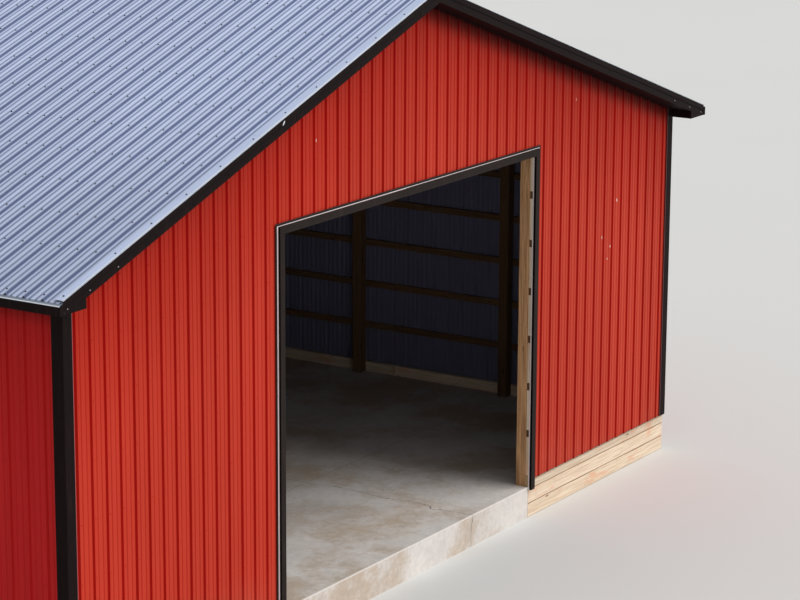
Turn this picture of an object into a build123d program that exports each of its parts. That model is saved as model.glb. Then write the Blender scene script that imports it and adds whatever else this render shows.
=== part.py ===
from build123d import *
import math
import os

# Red post-frame barn: ribbed steel walls and roof on posts, girts, purlins and trusses.
# Millimetres. X runs to the right along the front gable, Y runs back into the building, Z is up.
# The origin is on the ground under the middle of the building.

# Building size
building_width = 12802
building_length = 12192
bay_count = 5
trusses_per_bay = 2
roof_rise = 4
roof_run = 12
eave_overhang = 417
gable_overhang = 310

# Heights
floor_to_tie = 4234
heel_height = 175
floor_below_steel = 87
steel_over_skirt = 62
skirt_course_count = 3

# Doorway
door_clear_width = 5420

# Lumber
board_thickness = 38
two_by_four = 89
two_by_six = 140
two_by_eight = 184
two_by_ten = 235
post_size = 140
girt_spacing = 609.6
girt_row_count = 6
purlin_spacing = 609.6
first_purlin_from_edge = 160
second_purlin_from_edge = 1000
brace_reach = 600
web_foot = 72
tie_panels = 3
chord_panels = 2

# Ribbed steel
sheet = 1.0
rib_pitch = 228.6
gable_rib_pitch = 229.7
rib_height = 19
rib_base = 45
rib_top = 13
front_rib_from_corner = 203
side_rib_from_corner = 270
roof_rib_from_edge = 232
roof_edge_setback = 60
ridge_gap = 30

# Trims
corner_leg = 145
door_flashing_width = 137
head_flashing_height = 122
door_trim_face = 88
door_trim_depth = 26
door_trim_return = 30
door_trim_below_floor = 35
rake_face = 153
rake_flange = 155
rake_hem = 20
rake_end_inset = 66
rake_upper_band = 70
rake_step = 6
fascia_inset = 12
drip_depth = 6
drip_flange = 60
soffit_below_roof = 100
ridge_cap_leg = 230
base_ledge = 24
base_leg = 14

# Floor
slab_thickness = 100
slab_edge_width = 300

# Clearance between pieces that bear on each other
seat = 0.3

# Roof slope
slope = roof_rise / roof_run
slope_angle = math.atan(slope)
slope_cos = math.cos(slope_angle)
slope_sin = math.sin(slope_angle)

# Planes of the walls and of the corner trims
wall_x = building_width / 2
wall_y = building_length / 2
frame_x = wall_x - board_thickness - seat
frame_y = wall_y - board_thickness - seat
pan_out = seat + sheet
rib_out = pan_out + rib_height
trim_out = rib_out + seat + sheet
corner_x = wall_x + trim_out
corner_y = wall_y + trim_out
door_x = door_clear_width / 2
roof_end_y = wall_y + gable_overhang
eave_x = wall_x + eave_overhang
fascia_x = eave_x - fascia_inset
rake_face_y = roof_end_y - rake_step

# Heights worked out from the ground up
course_pitch = two_by_eight + seat
skirt_top = skirt_course_count * course_pitch - seat
steel_bottom = skirt_top - steel_over_skirt
floor_top = steel_bottom - floor_below_steel
tie_bottom = floor_top + floor_to_tie
chord_apex = tie_bottom + heel_height + frame_x * slope
bay = building_length / bay_count

# Heights above the top of the truss chords, square to the roof slope
purlin_top = seat + board_thickness
pan_under = purlin_top + seat
flange_top = pan_under + sheet + rib_height + seat + sheet
face_bottom = flange_top - rake_face
gable_soffit_under = face_bottom + sheet + seat
rake_board_under = gable_soffit_under + sheet + seat
rake_board_top = pan_under - seat
cap_under = flange_top + seat

# Level soffit under the eaves
soffit_under = chord_apex - eave_x * slope + pan_under / slope_cos - soffit_below_roof
soffit_top = soffit_under + sheet

# Roof slope measured down from the ridge
edge_down = eave_x / slope_cos
sheet_end_down = edge_down - roof_edge_setback
rake_end_x = eave_x - rake_end_inset

# Rows of girts, purlins and posts
girt_heights = [steel_bottom + girt_spacing * (row + 1) for row in range(girt_row_count)]
purlin_rows = [edge_down - first_purlin_from_edge]
purlin_row = edge_down - second_purlin_from_edge
while purlin_row > two_by_four / 2:
    purlin_rows.append(purlin_row)
    purlin_row = purlin_row - purlin_spacing
post_rows = [-wall_y + bay * row for row in range(bay_count + 1)]
post_rows[0] = -frame_y + post_size / 2
post_rows[-1] = frame_y - post_size / 2
door_post_x = door_x + post_size / 2
corner_post_x = frame_x - post_size / 2
front_post_x = (door_post_x + corner_post_x) / 2
back_post_count = 4
back_post_pitch = 2 * corner_post_x / (back_post_count + 1)
truss_count = bay_count * trusses_per_bay + 1
truss_rows = [-wall_y + bay / trusses_per_bay * row for row in range(truss_count)]
truss_rows[0] = -frame_y + board_thickness / 2
truss_rows[-1] = frame_y - board_thickness / 2

roof_plane = Plane(
    origin=(0, 0, chord_apex),
    x_dir=(slope_cos, 0, -slope_sin),
    z_dir=(slope_sin, 0, slope_cos),
)

node_count = 0


def save(name, solids):
    # One node of the building: a file of one solid or of several that do not touch.
    global node_count
    pieces = [piece for shape in solids for piece in shape.solids()]
    node = pieces[0] if len(pieces) == 1 else Compound(children=pieces)
    node.label = name
    export_step(node, os.path.join("parts", name + ".step"))
    node_count = node_count + 1


def block(x0, x1, y0, y1, z0, z1):
    # A board, post or slab between two corners.
    middle = Pos((x0 + x1) / 2, (y0 + y1) / 2, (z0 + z1) / 2)
    return middle * Box(abs(x1 - x0), abs(y1 - y0), abs(z1 - z0))


def prism_y(outline, y0, y1):
    # An outline of (x, z) points, drawn out along Y.
    plane = Plane(origin=(0, y1, 0), x_dir=(1, 0, 0), z_dir=(0, -1, 0))
    face = make_face(plane * Polyline(*outline, close=True))
    return extrude(face, amount=y1 - y0, dir=(0, -1, 0))


def prism_x(outline, x0, x1):
    # An outline of (y, z) points, drawn out along X.
    plane = Plane(origin=(x0, 0, 0), x_dir=(0, 1, 0), z_dir=(1, 0, 0))
    face = make_face(plane * Polyline(*outline, close=True))
    return extrude(face, amount=x1 - x0, dir=(1, 0, 0))


def prism_z(outline, z0, z1):
    # An outline of (x, y) points, drawn up along Z.
    plane = Plane(origin=(0, 0, z0))
    face = make_face(plane * Polyline(*outline, close=True))
    return extrude(face, amount=z1 - z0, dir=(0, 0, 1))


def roof_prism(outline, down0, down1):
    # An outline of (y, height above the chords) points, drawn out down the right-hand slope.
    start = roof_plane.from_local_coords((down0, 0, 0))
    plane = Plane(origin=start, x_dir=(0, 1, 0), z_dir=roof_plane.x_dir)
    face = make_face(plane * Polyline(*outline, close=True))
    return extrude(face, amount=down1 - down0, dir=roof_plane.x_dir)


def roof_block(down0, down1, y0, y1, height0, height1):
    # A board lying in the right-hand slope.
    middle = Pos((down0 + down1) / 2, (y0 + y1) / 2, (height0 + height1) / 2)
    return roof_plane * middle * Box(down1 - down0, y1 - y0, height1 - height0)


def left_of(shape):
    return mirror(shape, about=Plane.YZ)


def back_of(shape):
    return mirror(shape, about=Plane.XZ)


def both_sides(shape):
    return [left_of(shape), shape]


def chord_height(x):
    # Top of the truss chords at a distance from the middle.
    return chord_apex - abs(x) * slope


def slope_height(x, above):
    # A height square to the slope, as a level at a distance from the middle.
    return chord_height(x) + above / slope_cos


def bent_strip(path, thickness):
    # The closed outline of sheet metal that follows a path and lies on its left side.
    count = len(path)
    normals = []
    for index in range(count - 1):
        run_x = path[index + 1][0] - path[index][0]
        run_y = path[index + 1][1] - path[index][1]
        length = math.hypot(run_x, run_y)
        normals.append((-run_y / length, run_x / length))
    other_side = []
    for index in range(count):
        before = normals[max(index - 1, 0)]
        after = normals[min(index, count - 2)]
        scale = thickness / (1 + before[0] * after[0] + before[1] * after[1])
        step_x = (before[0] + after[0]) * scale
        step_y = (before[1] + after[1]) * scale
        other_side.append((path[index][0] + step_x, path[index][1] + step_y))
    return list(path) + other_side[::-1]


def ribbed_outline(start, end, first_rib, pitch):
    # Folded sheet from start to end, ribs outwards, as (along, outwards) points.
    outer = [(start, 0)]
    rib = first_rib + math.ceil((start + rib_base / 2 - first_rib) / pitch) * pitch
    while rib + rib_base / 2 < end:
        outer.append((rib - rib_base / 2, 0))
        outer.append((rib - rib_top / 2, rib_height))
        outer.append((rib + rib_top / 2, rib_height))
        outer.append((rib + rib_base / 2, 0))
        rib = rib + pitch
    outer.append((end, 0))
    top = [(along, out + sheet) for along, out in outer]
    return outer + top[::-1]


def wall_top_cut(solid, y0, y1):
    # Cuts a gable sheet along both slopes, just under the gable soffit.
    top = gable_soffit_under - seat
    half = wall_x + trim_out
    outline = [
        (-half, 0),
        (half, 0),
        (half, slope_height(half, top)),
        (0, slope_height(0, top)),
        (-half, slope_height(half, top)),
    ]
    return solid & prism_y(outline, y0, y1)


def gable_sheet(x0, x1, z0, facing):
    # Ribbed sheet of a gable wall; facing is -1 at the front and 1 at the back.
    first_rib = -wall_x - trim_out + front_rib_from_corner
    outline = ribbed_outline(x0, x1, first_rib, gable_rib_pitch)
    points = [(along, facing * (wall_y + seat + out)) for along, out in outline]
    sheet_solid = prism_z(points, z0, chord_apex)
    near = facing * wall_y
    far = facing * (wall_y + trim_out)
    return wall_top_cut(sheet_solid, min(near, far), max(near, far))


def side_sheet(side):
    # Ribbed sheet of a side wall; side is -1 on the left and 1 on the right.
    first_rib = -wall_y - trim_out + side_rib_from_corner
    outline = ribbed_outline(-wall_y, wall_y, first_rib, rib_pitch)
    points = [(side * (wall_x + seat + out), along) for along, out in outline]
    return prism_z(points, steel_bottom, soffit_under - seat)


def gable_girt(z0, z1, facing):
    # A girt between the two slopes of a gable, with its ends cut to the slopes.
    top = gable_soffit_under - seat
    low = (chord_apex + top / slope_cos - z0) / slope
    high = (chord_apex + top / slope_cos - z1) / slope
    low = min(low, wall_x)
    high = min(high, wall_x)
    y0 = facing * wall_y
    y1 = facing * (wall_y - board_thickness)
    outline = [(-low, z0), (low, z0), (high, z1), (-high, z1)]
    return prism_y(outline, min(y0, y1), max(y0, y1))


os.makedirs("parts", exist_ok=True)

# Skirt boards
front_boards = []
back_boards = []
side_boards = []
for course in range(skirt_course_count):
    low = course * course_pitch
    high = low + two_by_eight
    front_boards += both_sides(block(door_x, wall_x, -wall_y, -wall_y + board_thickness, low, high))
    back_boards.append(block(-wall_x, wall_x, wall_y - board_thickness, wall_y, low, high))
    side_boards.append(block(wall_x - board_thickness, wall_x, -frame_y, frame_y, low, high))
save("skirt_front", front_boards)
save("skirt_back", back_boards)
save("skirt_left", [left_of(board) for board in side_boards])
save("skirt_right", side_boards)

# Posts
side_posts = []
for row in post_rows:
    foot = row - post_size / 2
    side_posts.append(block(frame_x - post_size, frame_x, foot, foot + post_size, 0, tie_bottom - seat))
save("side_posts_left", [left_of(post) for post in side_posts])
save("side_posts_right", side_posts)


def gable_post(x, facing):
    # A post in a gable wall, under the tie of the end truss.
    y0 = facing * frame_y
    y1 = facing * (frame_y - post_size)
    return block(x - post_size / 2, x + post_size / 2, y0, y1, 0, tie_bottom - seat)


door_posts = both_sides(gable_post(door_post_x, -1))
front_posts = both_sides(gable_post(front_post_x, -1))
back_posts = []
for row in range(back_post_count):
    back_posts.append(gable_post(-corner_post_x + back_post_pitch * (row + 1), 1))
save("door_posts", door_posts)
save("gable_posts_front", front_posts)
save("gable_posts_back", back_posts)

# Floor slab with a thickened edge, cast round the posts
slab_x = frame_x
slab_y = frame_y
tongue_x = door_x - seat
slab = block(-slab_x, slab_x, -slab_y, slab_y, floor_top - slab_thickness, floor_top)
footing = block(-slab_x, slab_x, -slab_y, slab_y, 0, floor_top - slab_thickness)
footing = footing - block(
    slab_edge_width - slab_x,
    slab_x - slab_edge_width,
    slab_edge_width - slab_y,
    slab_y - slab_edge_width,
    -1,
    floor_top,
)
slab = slab + footing + block(-tongue_x, tongue_x, -wall_y, -slab_y, 0, floor_top)
for post in side_posts + [left_of(post) for post in side_posts] + door_posts + front_posts + back_posts:
    box = post.bounding_box()
    slab = slab - block(
        box.min.X - seat, box.max.X + seat, box.min.Y - seat, box.max.Y + seat, -1, floor_top + 1
    )
save("floor_slab", [slab])

# Girts
front_girts = []
back_girts = []
side_girts = []
for height in girt_heights:
    low = height - two_by_four / 2
    high = height + two_by_four / 2
    front_girts += both_sides(block(door_x, wall_x, -wall_y, -wall_y + board_thickness, low, high))
    back_girts.append(block(-wall_x, wall_x, wall_y - board_thickness, wall_y, low, high))
    side_girts.append(block(wall_x - board_thickness, wall_x, -frame_y, frame_y, low, high))
eave_girt_top = slope_height(wall_x, -two_by_six) - seat
side_girts.append(
    block(
        wall_x - board_thickness, wall_x, -frame_y, frame_y, eave_girt_top - two_by_six, eave_girt_top
    )
)
gable_rows = [(tie_bottom, tie_bottom + two_by_eight)]
gable_row = tie_bottom + girt_spacing + two_by_eight / 2
while slope_height(0, gable_soffit_under) - gable_row > girt_spacing / 2:
    gable_rows.append((gable_row - two_by_four / 2, gable_row + two_by_four / 2))
    gable_row = gable_row + girt_spacing
for low, high in gable_rows:
    front_girts.append(gable_girt(low, high, -1))
    back_girts.append(gable_girt(low, high, 1))
save("girts_front", front_girts)
save("girts_back", back_girts)
save("girts_left", [left_of(girt) for girt in side_girts])
save("girts_right", side_girts)

# Upright nailers at the doorway, between the girts
nailers = []
nailer_low = skirt_top + seat
for height in girt_heights + [tie_bottom + two_by_four / 2]:
    nailer_high = height - two_by_four / 2 - seat
    if nailer_high - nailer_low > board_thickness:
        nailers += both_sides(
            block(
                door_x,
                door_x + two_by_four,
                -wall_y,
                -wall_y + board_thickness,
                nailer_low,
                nailer_high,
            )
        )
    nailer_low = height + two_by_four / 2 + seat
save("door_nailers", nailers)

# Truss carriers on the inner faces of the side posts
carrier = block(
    frame_x - post_size - seat - board_thickness,
    frame_x - post_size - seat,
    -frame_y + post_size + seat,
    frame_y - post_size - seat,
    tie_bottom - seat - two_by_ten,
    tie_bottom - seat,
)
save("truss_carriers", both_sides(carrier))

# Trusses: level ties, sloped chords with level-cut tails, and webs
chord_drop = two_by_six / slope_cos
tie_top = tie_bottom + two_by_six
heel_under = slope_height(frame_x, -two_by_six) - seat
tie_cut_x = frame_x - (tie_top - heel_under) / slope
tie_outline = [
    (-frame_x, tie_bottom),
    (frame_x, tie_bottom),
    (frame_x, heel_under),
    (tie_cut_x, tie_top),
    (-tie_cut_x, tie_top),
    (-frame_x, heel_under),
]
tail_x = fascia_x - sheet - seat - board_thickness - seat
tail_under = soffit_top + seat
tail_cut_x = (chord_apex - chord_drop - tail_under) / slope
chord_outline = [
    (seat / 2, chord_height(0)),
    (tail_x, chord_height(tail_x)),
    (tail_x, tail_under),
    (tail_cut_x, tail_under),
    (seat / 2, chord_height(0) - chord_drop),
]
tie_joint_x = frame_x / tie_panels
chord_joint_x = frame_x / chord_panels
web_bay = [
    (seat / 2, tie_top + seat),
    (tie_cut_x, tie_top + seat),
    (seat / 2, chord_apex - chord_drop - seat / slope_cos),
]


def web(tie_x, chord_x):
    # A web board from a point on the tie to a point under the sloped chord, cut to fit between them.
    start = (tie_x, tie_top)
    run_x = chord_x - tie_x
    run_z = chord_height(chord_x) - chord_drop - tie_top
    length = math.hypot(run_x, run_z)
    out_x = -run_z / length * two_by_four / 2
    out_z = run_x / length * two_by_four / 2
    over_x = run_x / length * two_by_ten
    over_z = run_z / length * two_by_ten
    strip = [
        (start[0] - over_x - out_x, start[1] - over_z - out_z),
        (start[0] + run_x + over_x - out_x, start[1] + run_z + over_z - out_z),
        (start[0] + run_x + over_x + out_x, start[1] + run_z + over_z + out_z),
        (start[0] - over_x + out_x, start[1] - over_z + out_z),
    ]
    half = board_thickness / 2
    return prism_y(strip, -half, half) & prism_y(web_bay, -half, half)


outer_web = web(tie_joint_x + web_foot, chord_joint_x)
inner_web = web(tie_joint_x - web_foot, web_foot)
ties = []
chords = []
webs = []
for row in truss_rows:
    half = board_thickness / 2
    ties.append(prism_y(tie_outline, row - half, row + half))
    chords += both_sides(prism_y(chord_outline, row - half, row + half))
    webs += both_sides(Pos(0, row, 0) * outer_web)
    webs += both_sides(Pos(0, row, 0) * inner_web)
save("truss_bottom_chords", ties)
save("truss_top_chords", chords)
save("truss_webs", webs)

# Knee braces from the side posts to the ties
brace_x = frame_x - post_size - seat
brace_z = tie_bottom - seat
brace_drop = brace_reach + two_by_four * math.sqrt(2)
brace_outline = [
    (brace_x, brace_z - brace_drop),
    (brace_x, brace_z - brace_reach),
    (brace_x - brace_reach, brace_z),
    (brace_x - brace_drop, brace_z),
]
braces = []
for row in post_rows[1:-1]:
    half = board_thickness / 2
    braces += both_sides(prism_y(brace_outline, row - half, row + half))
save("knee_braces", braces)

# Purlins, rake boards and eave boards
purlin_end_y = rake_face_y - sheet - seat - board_thickness - seat
purlins = []
for row in purlin_rows:
    purlins.append(
        roof_block(
            row - two_by_four / 2, row + two_by_four / 2, -purlin_end_y, purlin_end_y, seat, purlin_top
        )
    )
save("purlins_left", [left_of(purlin) for purlin in purlins])
save("purlins_right", purlins)
rake_board_y = rake_face_y - sheet - seat
rake_board_end = rake_end_x - sheet - seat
rake_board = prism_y(
    [
        (seat / 2, slope_height(0, rake_board_under)),
        (seat / 2, slope_height(0, rake_board_top)),
        (rake_board_end, slope_height(rake_board_end, rake_board_top)),
        (rake_board_end, slope_height(rake_board_end, rake_board_under)),
    ],
    -rake_board_y,
    -rake_board_y + board_thickness,
)
rake_board = rake_board - block(0, eave_x, -roof_end_y, 0, 0, soffit_top + seat)
front_rake_boards = both_sides(rake_board)
save("rake_boards", front_rake_boards + [back_of(board) for board in front_rake_boards])
eave_board_x = fascia_x - sheet - seat
eave_board_top = pan_under - 2 * seat - sheet
eave_board = prism_y(
    [
        (eave_board_x - board_thickness, soffit_top + seat),
        (eave_board_x, soffit_top + seat),
        (eave_board_x, slope_height(eave_board_x, eave_board_top)),
        (eave_board_x - board_thickness, slope_height(eave_board_x - board_thickness, eave_board_top)),
    ],
    -rake_board_y,
    rake_board_y,
)
save("eave_boards", both_sides(eave_board))

# Ribbed steel walls
panel_edge = door_x + sheet + seat
save("front_wall_left", [gable_sheet(-wall_x, -panel_edge, steel_bottom, -1)])
save("front_wall_right", [gable_sheet(panel_edge, wall_x, steel_bottom, -1)])
save("front_wall_over_door", [gable_sheet(seat - panel_edge, panel_edge - seat, tie_bottom + sheet + seat, -1)])
save("back_wall", [gable_sheet(-wall_x, wall_x, steel_bottom, 1)])
save("left_wall", [side_sheet(-1)])
save("right_wall", [side_sheet(1)])

# Ribbed steel roof
roof_outline = [
    (along, pan_under + out)
    for along, out in ribbed_outline(
        -roof_end_y + pan_out, roof_end_y - pan_out, -roof_end_y + roof_rib_from_edge, rib_pitch
    )
]
roof_side = roof_prism(roof_outline, ridge_gap, sheet_end_down)
save("roof_left", [left_of(roof_side)])
save("roof_right", [roof_side])

# Ridge cap
cap_x = ridge_cap_leg * slope_cos
cap_path = [
    (cap_x, slope_height(cap_x, cap_under)),
    (0, slope_height(0, cap_under)),
    (-cap_x, slope_height(cap_x, cap_under)),
]
save("ridge_cap", [prism_y(bent_strip(cap_path, -sheet), -roof_end_y, roof_end_y)])

# Rake trims: an upper band that stands proud of the lower one, cut plumb at the ridge and at the eave
rake_path = [
    (-rake_face_y + rake_hem, face_bottom),
    (-rake_face_y, face_bottom),
    (-rake_face_y, flange_top - rake_upper_band),
    (-roof_end_y, flange_top - rake_upper_band),
    (-roof_end_y, flange_top),
    (-roof_end_y + rake_flange, flange_top),
]
rake_trim = roof_prism(bent_strip(rake_path, -sheet), -two_by_ten, edge_down)
rake_trim = rake_trim & block(
    seat / 2, rake_end_x, -roof_end_y, 0, soffit_top + seat, chord_apex + two_by_ten
)
save("rake_trim_front_right", [rake_trim])
save("rake_trim_front_left", [left_of(rake_trim)])
save("rake_trim_back_right", [back_of(rake_trim)])
save("rake_trim_back_left", [back_of(left_of(rake_trim))])

# Boxed returns at the corners: a front plate under the rake and a side plate back to the wall
return_low = soffit_top + seat
return_x = wall_x
plate_top = face_bottom - seat
plate_reach = (chord_apex + plate_top / slope_cos - return_low) / slope
front_plate = prism_y(
    [
        (return_x - sheet, return_low),
        (plate_reach, return_low),
        (return_x - sheet, slope_height(return_x - sheet, plate_top)),
    ],
    -rake_face_y,
    -rake_face_y + sheet,
)
side_plate = block(
    return_x - sheet,
    return_x,
    -rake_face_y,
    -corner_y - seat,
    return_low,
    slope_height(return_x, plate_top),
)
eave_return = front_plate + side_plate
front_returns = both_sides(eave_return)
save("eave_returns_front", front_returns)
save("eave_returns_back", [back_of(shape) for shape in front_returns])

# Eave trims with a drip flange, level soffits and sloped gable soffits
eave_path = [
    (fascia_x - rake_hem, soffit_under - seat - sheet),
    (fascia_x, soffit_under - seat - sheet),
    (fascia_x, slope_height(fascia_x, pan_under - seat) - drip_depth),
    (eave_x, slope_height(eave_x, pan_under - seat) - drip_depth),
    (eave_x, slope_height(eave_x, pan_under - seat)),
    (eave_x - drip_flange, slope_height(eave_x - drip_flange, pan_under - seat)),
]
eave_trim = prism_y(bent_strip(eave_path, sheet), -roof_end_y, roof_end_y)
eave_end = prism_y(
    [
        (rake_end_x + seat, return_low),
        (fascia_x, return_low),
        (fascia_x, slope_height(fascia_x, pan_under - seat) - drip_depth),
        (rake_end_x + seat, slope_height(rake_end_x, pan_under - seat) - drip_depth),
    ],
    -roof_end_y,
    -roof_end_y + sheet,
)
save("eave_trims", both_sides(eave_trim + eave_end + back_of(eave_end)))
eave_soffit = block(wall_x + seat, eave_board_x, -rake_face_y, rake_face_y, soffit_under, soffit_top)
save("eave_soffits", both_sides(eave_soffit))
gable_soffit_end = wall_x - 2 * sheet
gable_soffit = prism_y(
    [
        (seat / 2, slope_height(0, gable_soffit_under)),
        (gable_soffit_end, slope_height(gable_soffit_end, gable_soffit_under)),
        (gable_soffit_end, slope_height(gable_soffit_end, gable_soffit_under + sheet)),
        (seat / 2, slope_height(0, gable_soffit_under + sheet)),
    ],
    -rake_board_y,
    -frame_y - seat,
)
front_soffits = both_sides(gable_soffit)
save("gable_soffits", front_soffits + [back_of(shape) for shape in front_soffits])

# Corner trims, with their front legs carried up under the gable soffits
corner_path = [
    (corner_x - corner_leg, -corner_y),
    (corner_x, -corner_y),
    (corner_x, -corner_y + corner_leg),
]
corner_trim = prism_z(bent_strip(corner_path, sheet), steel_bottom, soffit_under - seat)
leg_end_x = corner_x - corner_leg
upper_leg = prism_y(
    [
        (leg_end_x, steel_bottom),
        (wall_x, steel_bottom),
        (wall_x, slope_height(wall_x, gable_soffit_under - seat)),
        (leg_end_x, slope_height(leg_end_x, gable_soffit_under - seat)),
    ],
    -corner_y,
    -corner_y + sheet,
)
corner_trim = corner_trim + upper_leg
save("corner_trim_front_right", [corner_trim])
save("corner_trim_front_left", [left_of(corner_trim)])
save("corner_trim_back_right", [back_of(corner_trim)])
save("corner_trim_back_left", [back_of(left_of(corner_trim))])

# Pale flashing round the doorway: it closes the edge of the steel and lies over the ribs
flashing_y = -wall_y - trim_out
trim_bottom = floor_top - door_trim_below_floor
head_under = tie_bottom - seat - sheet
flashing_top = head_under + head_flashing_height
flashing_edge_x = door_x + door_flashing_width
jamb_flashing_path = [
    (door_x, -wall_y - seat),
    (door_x, flashing_y),
    (flashing_edge_x, flashing_y),
]
jamb_flashing = prism_z(bent_strip(jamb_flashing_path, sheet), trim_bottom, flashing_top)
jamb_flashing = jamb_flashing - block(
    0, panel_edge, flashing_y + sheet, 0, tie_bottom - seat, flashing_top
)
head_flashing_path = [
    (-wall_y - seat, tie_bottom),
    (flashing_y, tie_bottom),
    (flashing_y, flashing_top),
]
head_flashing_end = door_x - seat
head_flashing = prism_x(bent_strip(head_flashing_path, -sheet), -head_flashing_end, head_flashing_end)
save("door_flashings", both_sides(jamb_flashing) + [head_flashing])

# Black doorway trims on the flashing: jambs down past the floor, under a head with closed ends
trim_y = flashing_y - door_trim_depth
trim_foot_y = flashing_y - seat
jamb_x = door_x - seat - sheet
trim_edge_x = jamb_x + door_trim_face
jamb_path = [
    (jamb_x, trim_y + door_trim_return),
    (jamb_x, trim_y),
    (trim_edge_x, trim_y),
    (trim_edge_x, trim_foot_y),
]
jamb = prism_z(bent_strip(jamb_path, sheet), trim_bottom, head_under - seat)
save("door_trim_right", [jamb])
save("door_trim_left", [left_of(jamb)])
head_top = head_under + door_trim_face
head_path = [
    (trim_y + door_trim_return, head_under),
    (trim_y, head_under),
    (trim_y, head_top),
    (trim_foot_y, head_top),
]
head = prism_x(bent_strip(head_path, -sheet), -trim_edge_x, trim_edge_x)
head = head + both_sides(block(trim_edge_x - sheet, trim_edge_x, trim_y, trim_foot_y, head_under, head_top))
head = head - both_sides(block(head_flashing_end, trim_edge_x, trim_foot_y, -frame_y, 0, head_top))
save("door_trim_head", [head])

# Base trim: a narrow ledge on the skirt boards under the steel
ledge_z = steel_bottom - seat - sheet


def base_outline(wall, outwards):
    # The ledge in section, as (out of the wall, height) points.
    foot = wall + outwards * seat
    return [
        (foot, ledge_z - base_leg),
        (foot, ledge_z + sheet),
        (foot + outwards * base_ledge, ledge_z + sheet),
        (foot + outwards * base_ledge, ledge_z),
        (foot + outwards * sheet, ledge_z),
        (foot + outwards * sheet, ledge_z - base_leg),
    ]


base_start_x = flashing_edge_x + seat
base_pieces = both_sides(prism_x(base_outline(-wall_y, -1), base_start_x, wall_x))
base_pieces.append(prism_x(base_outline(wall_y, 1), -wall_x, wall_x))
base_pieces += both_sides(prism_y(base_outline(wall_x, 1), -wall_y, wall_y))
save("base_trim", base_pieces)

print(node_count, "nodes")
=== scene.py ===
"""Red post-frame barn: finishes, folded steel, boards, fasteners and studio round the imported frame.

Metres. X runs to the right along the front gable, Y runs back into the building and Z is up.
"""

import logging
import math
import random
from collections.abc import Callable, Iterable, Sequence
from dataclasses import dataclass
from enum import Enum, IntEnum

import bmesh
import bpy
from bmesh.types import BMesh, BMFace, BMVert
from bpy.types import Material, Object
from mathutils import Matrix, Vector


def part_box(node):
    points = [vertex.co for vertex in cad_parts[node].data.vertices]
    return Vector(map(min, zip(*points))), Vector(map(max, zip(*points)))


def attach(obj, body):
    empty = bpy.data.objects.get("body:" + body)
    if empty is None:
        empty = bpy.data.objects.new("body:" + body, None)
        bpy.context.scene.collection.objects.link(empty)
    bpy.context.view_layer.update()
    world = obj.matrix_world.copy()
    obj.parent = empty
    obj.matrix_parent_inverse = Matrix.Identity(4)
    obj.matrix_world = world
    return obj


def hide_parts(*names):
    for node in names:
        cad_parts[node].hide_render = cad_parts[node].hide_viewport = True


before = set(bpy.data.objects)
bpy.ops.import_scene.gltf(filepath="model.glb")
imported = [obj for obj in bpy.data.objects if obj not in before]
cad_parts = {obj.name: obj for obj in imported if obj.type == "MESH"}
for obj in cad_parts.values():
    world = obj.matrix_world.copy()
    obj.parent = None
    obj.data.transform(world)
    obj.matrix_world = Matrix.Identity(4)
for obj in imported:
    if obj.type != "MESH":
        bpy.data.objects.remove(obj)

LOG = logging.getLogger("barn")

Colour = tuple[float, float, float, float]
Point = tuple[float, float]
Spot = tuple[float, float, float]
Ends = tuple[Vector, ...]
Shares = tuple[float, ...]


def paint(red: float, green: float, blue: float) -> Colour:
    """Turns a colour picked from 0 to 255, on the sRGB curve, into a shader's linear colour.

    Args:
        red: Red part.
        green: Green part.
        blue: Blue part.

    Returns:
        The linear colour, opaque.
    """
    shares = (part / 255 for part in (red, green, blue))
    linear = (x / 12.92 if x <= 0.04045 else ((x + 0.055) / 1.055) ** 2.4 for x in shares)
    return (*linear, 1.0)


class Side(Enum):
    """The two long sides of the building."""

    LEFT = -1
    RIGHT = 1


class Gable(Enum):
    """The two gable ends of the building."""

    FRONT = -1
    BACK = 1


Facing = Side | Gable


# Shader sums


class Value:
    """A node's socket in Python sums; a mark is full over FULL_SHARE of its reach."""

    FULL_SHARE = 0.4

    def __init__(self, graph: "Graph", socket: bpy.types.NodeSocket | None) -> None:
        """Keeps the socket and the node graph it belongs to."""
        self.graph = graph
        self.socket = socket

    def math(self, operation: str, *operands: "Value | float") -> "Value":
        """Result of one Math node on the operands."""
        inputs = dict(enumerate(operands))
        return self.graph.node("ShaderNodeMath", {"operation": operation}, inputs)

    def __add__(self, other: "Value | float") -> "Value":
        """Sum of two values."""
        return self.math("ADD", self, other)

    __radd__ = __add__

    def __sub__(self, other: "Value | float") -> "Value":
        """Difference of two values."""
        return self.math("SUBTRACT", self, other)

    def __rsub__(self, other: float) -> "Value":
        """A number less this value."""
        return self.math("SUBTRACT", other, self)

    def __mul__(self, other: "Value | float") -> "Value":
        """Product of two values."""
        return self.math("MULTIPLY", self, other)

    __rmul__ = __mul__

    def __truediv__(self, other: "Value | float") -> "Value":
        """Quotient of two values."""
        return self.math("DIVIDE", self, other)

    def __abs__(self) -> "Value":
        """Size of the value without its sign."""
        return self.math("ABSOLUTE", self)

    def __pow__(self, power: float) -> "Value":
        """The value to a power."""
        return self.math("POWER", self, power)

    def fraction(self) -> "Value":
        """The part after the point."""
        return self.math("FRACT", self)

    def at_least(self, other: "Value | float") -> "Value":
        """The larger of two values."""
        return self.math("MAXIMUM", self, other)

    def rise(self, low: float, high: float) -> "Value":
        """Goes softly from 0 at one level to 1 at another, which may lie below the first."""
        inputs = {"Value": self, "From Min": low, "From Max": high}
        return self.graph.node("ShaderNodeMapRange", {"interpolation_type": "SMOOTHSTEP"}, inputs)

    def near(self, level: float, reach: float) -> "Value":
        """1 at a level, falling to 0 at a reach from it."""
        return abs(self - level).rise(reach, reach * self.FULL_SHARE)

    def within(self, limit: float, outside: float, inside: float) -> "Value":
        """1 below a limit, fading to 0 from a little inside it to a little outside it."""
        return self.rise(limit + outside, limit - inside)


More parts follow.
